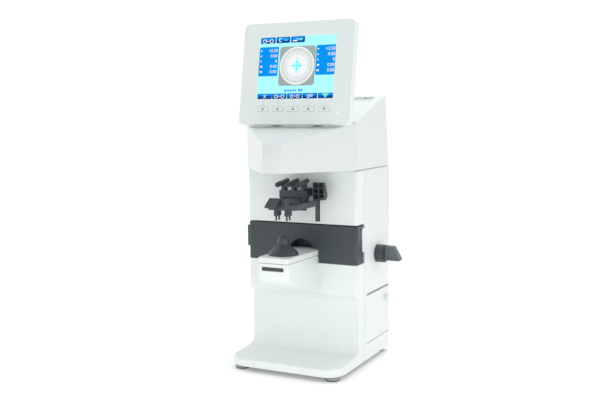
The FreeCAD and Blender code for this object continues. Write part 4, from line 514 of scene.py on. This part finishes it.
def draw_trim():
    lip = frame_round(0, 0, (58.4, 43.1), (58.8, 43.5))
    # Painted light: a cream strip round the screen, for the wall of its recess lit by the screen.
    flat_piece("screen_lip", lip, BEZEL_PROUD + 0.03, lip_cream)
    places = [KEY_PITCH * (index - (KEY_COUNT - 1) / 2) for index in range(KEY_COUNT)]
    lines = [panel(around(x, 0.2), (-53.4, -46.0)) for x in places]
    flat_piece("key_lines", lines, BEZEL_PROUD + 0.02, line_grey)
    # Painted shade: grey strips in the gaps round the keys.
    seams = []
    for x in places:
        seams += frame_round(x, KEY_UP, (8.2, 3.1), (8.5, 3.4))
    flat_piece("key_seams", seams, BEZEL_PROUD - 0.35, line_grey)
    for number, x in enumerate(places, start=1):
        flat_piece(f"key_dot_{number}", [disc(x, KEY_UP, 1.45, 20)], KEY_PROUD + 0.03, print_grey,
                   body=f"key_{number}_body")
    light = disc(66.3, -62.1, 1.3, 20)
    flat_piece("indicator_light", [light], BEZEL_PROUD, lamp_on, thickness=0.5)


draw_tabs_and_blocks()
draw_target()
draw_soft_keys()
draw_tab_signs()
draw_status()
draw_readings()
draw_trim()


# Painted shade: plates behind the gaps and in the cells of the handle, in the machine's frame.

BOX_FACES = ((0, 2, 3, 1), (4, 5, 7, 6), (0, 1, 5, 4), (2, 6, 7, 3), (0, 4, 6, 2), (1, 3, 7, 5))


def painted_shade_plates(name, boxes, material, body="machine"):
    """Closed plates of painted shade, each from three spans: across, deep and up."""
    vertices = []
    faces = []
    for across, deep, up in boxes:
        start = len(vertices)
        vertices += [(x * MM, y * MM, z * MM) for z in up for y in deep for x in across]
        faces += [[start + corner for corner in face] for face in BOX_FACES]
    mesh = bpy.data.meshes.new(name)
    mesh.from_pydata(vertices, [], faces)
    add_piece(name, mesh, material, body)


def paint_shade_in_gaps():
    """Painted shade: grey plates in the gap under the head, on the wall of the rail's slot and in the
    paper slot.
    """
    cover_low, cover_high = (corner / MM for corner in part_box("rear_cover"))
    middle_x = middle_of((cover_low.x, cover_high.x))
    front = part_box("upper_cover")[0].y / MM
    head_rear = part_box("head_cover")[1].y / MM
    half = cover_high.x - middle_x
    left_sheet = (middle_x - half + 0.5, middle_x - half + 0.9)
    right_sheet = (middle_x + half - 0.9, middle_x + half - 0.5)
    deep = (front + 6.0, head_rear - 4.0)
    up = (cover_high.z + 0.1, cover_high.z + 1.1)
    painted_shade_plates("head_gap_lining", [(right_sheet, deep, up), (left_sheet, deep, up)], gap_grey)
    slot_wall = (middle_x + 21.85, middle_x + 21.95)
    painted_shade_plates("slot_lining", [(slot_wall, (front + 0.3, front + 2.9), (205.6, 253.9))], slot_grey)
    door_low, door_high = (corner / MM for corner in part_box("printer_door"))
    paper_slot = ((cover_high.x - 2.4, cover_high.x - 1.2), (door_low.y + 3.0, door_high.y - 9.0),
                  (door_high.z + 0.3, door_high.z + 1.5))
    painted_shade_plates("paper_slot_lining", [paper_slot], gap_grey)


def paint_shade_in_handle_cell_floors():
    """Painted shade: black plates on the floors of the handle's six cells and of the four in its neck."""
    low, high = (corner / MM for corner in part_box("marker_handle"))
    right, front = high.x, low.y
    floors = (((239.4, 245.5), 8.58), ((247.0, 253.0), 5.83), ((254.5, 260.6), 3.07))
    neck_floor = 10.5
    neck_levels = ((243.9, 247.2), (248.8, 252.1))
    rows = [(level, floor, (right - 16.0, right - 8.0), 6.6) for level, floor in floors]
    rows += [(level, neck_floor, (right - 23.9, right - 20.6), 1.9) for level in neck_levels]
    cells = []
    for level, floor, starts, width in rows:
        for start in starts:
            deep = (front + floor - 0.15, front + floor - 0.05)
            cells.append(((start + 0.1, start + width), deep, level))
    painted_shade_plates("handle_cells", cells, cell_black, body="marker")


paint_shade_in_gaps()
paint_shade_in_handle_cell_floors()


# Floor, light and camera. Lengths are metres from here on, except the camera's place.

FLOOR_REACH = 40.0

# Each lamp: name, place, target, size, power in watts.
LAMPS = (
    ("low_right", (0.45, -0.24, 0.04), (0.07, 0.02, 0.06), (0.2, 0.05), 0.28),
    ("low_front", (-0.02, -0.32, 0.03), (0.0, -0.05, 0.11), (0.4, 0.04), 0.13),
    ("left", (-1.15, 0.15, 0.36), (-0.08, 0.0, 0.30), (0.5, 0.5), 1.0),
    ("behind_above", (0.15, 0.75, 1.25), (0.0, 0.0, 0.37), (0.7, 0.5), 3.0),
)
BRIGHT_SIDE = (-0.35, 1.0, 1.0)
SKY = {"From Min": -0.9, "From Max": 0.7, "To Min": 0.80, "To Max": 1.03}

CAMERA_PLACE = (525.98, -1089.23, 363.9)
CAMERA_YAW, CAMERA_PITCH, CAMERA_ROLL = (math.radians(angle) for angle in (26.9, 6.15, -0.57))
IMAGE_WIDTH = 600
FOCAL_PIXELS = 866.0
SENSOR_WIDTH = 36.0


def make_floor():
    mesh = bpy.data.meshes.new("floor")
    corners = [(x, y, 0) for x, y in ((-1, -1), (1, -1), (1, 1), (-1, 1))]
    mesh.from_pydata([Vector(corner) * FLOOR_REACH for corner in corners], [], [(0, 1, 2, 3)])
    floor = bpy.data.objects.new("floor", mesh)
    bpy.context.collection.objects.link(floor)
    material, shader = new_material("floor_paper")
    set_inputs(shader, {"Base Color": (0.92, 0.92, 0.92), "Roughness": 0.8, "Specular IOR Level": 0.0,
                        "Emission Color": (1.0, 1.0, 1.0), "Emission Strength": 0.13})
    mesh.materials.append(material)


def area_light(name, place, target, size, power):
    data = bpy.data.lights.new(name, "AREA")
    data.shape = "RECTANGLE"
    data.size, data.size_y = size
    data.energy = power
    light = bpy.data.objects.new(name, data)
    bpy.context.collection.objects.link(light)
    light.location = place
    light.rotation_mode = "QUATERNION"
    light.rotation_quaternion = (Vector(target) - Vector(place)).to_track_quat("-Z", "Y")


def make_light():
    """A white studio, brightest overhead and behind, with low lamps for the lower half."""
    world = bpy.data.worlds.new("studio")
    bpy.context.scene.world = world
    world.use_nodes = True
    tree = world.node_tree
    back = tree.nodes["Background"]
    back.inputs["Color"].default_value = (1.0, 1.0, 1.0, 1.0)
    toward = tree.nodes.new("ShaderNodeTexCoord")
    bright_side = tree.nodes.new("ShaderNodeVectorMath")
    bright_side.operation = "DOT_PRODUCT"
    bright_side.inputs[1].default_value = BRIGHT_SIDE
    sky = tree.nodes.new("ShaderNodeMapRange")
    for socket, value in SKY.items():
        sky.inputs[socket].default_value = value
    tree.links.new(toward.outputs["Generated"], bright_side.inputs[0])
    tree.links.new(bright_side.outputs["Value"], sky.inputs["Value"])
    tree.links.new(sky.outputs["Result"], back.inputs["Strength"])
    for lamp in LAMPS:
        area_light(*lamp)


def make_camera():
    """Camera of the photograph: its place, yaw, pitch and roll, and its focal length in pixels."""
    level = math.cos(CAMERA_PITCH)
    ahead = Vector((-math.sin(CAMERA_YAW) * level, math.cos(CAMERA_YAW) * level, -math.sin(CAMERA_PITCH)))
    right = Vector((math.cos(CAMERA_YAW), math.sin(CAMERA_YAW), 0))
    up = right.cross(ahead)
    turned_right = right * math.cos(CAMERA_ROLL) + up * math.sin(CAMERA_ROLL)
    turned_up = up * math.cos(CAMERA_ROLL) - right * math.sin(CAMERA_ROLL)
    data = bpy.data.cameras.new("camera")
    data.sensor_width = SENSOR_WIDTH
    data.lens = FOCAL_PIXELS / IMAGE_WIDTH * SENSOR_WIDTH
    data.clip_start = 0.01
    camera = bpy.data.objects.new("camera", data)
    bpy.context.collection.objects.link(camera)
    turn = Matrix((turned_right, turned_up, -ahead)).transposed().to_4x4()
    camera.matrix_world = Matrix.Translation(Vector(CAMERA_PLACE) * MM) @ turn
    bpy.context.scene.camera = camera


make_floor()
make_light()
make_camera()
bpy.context.scene.view_settings.view_transform = "Standard"
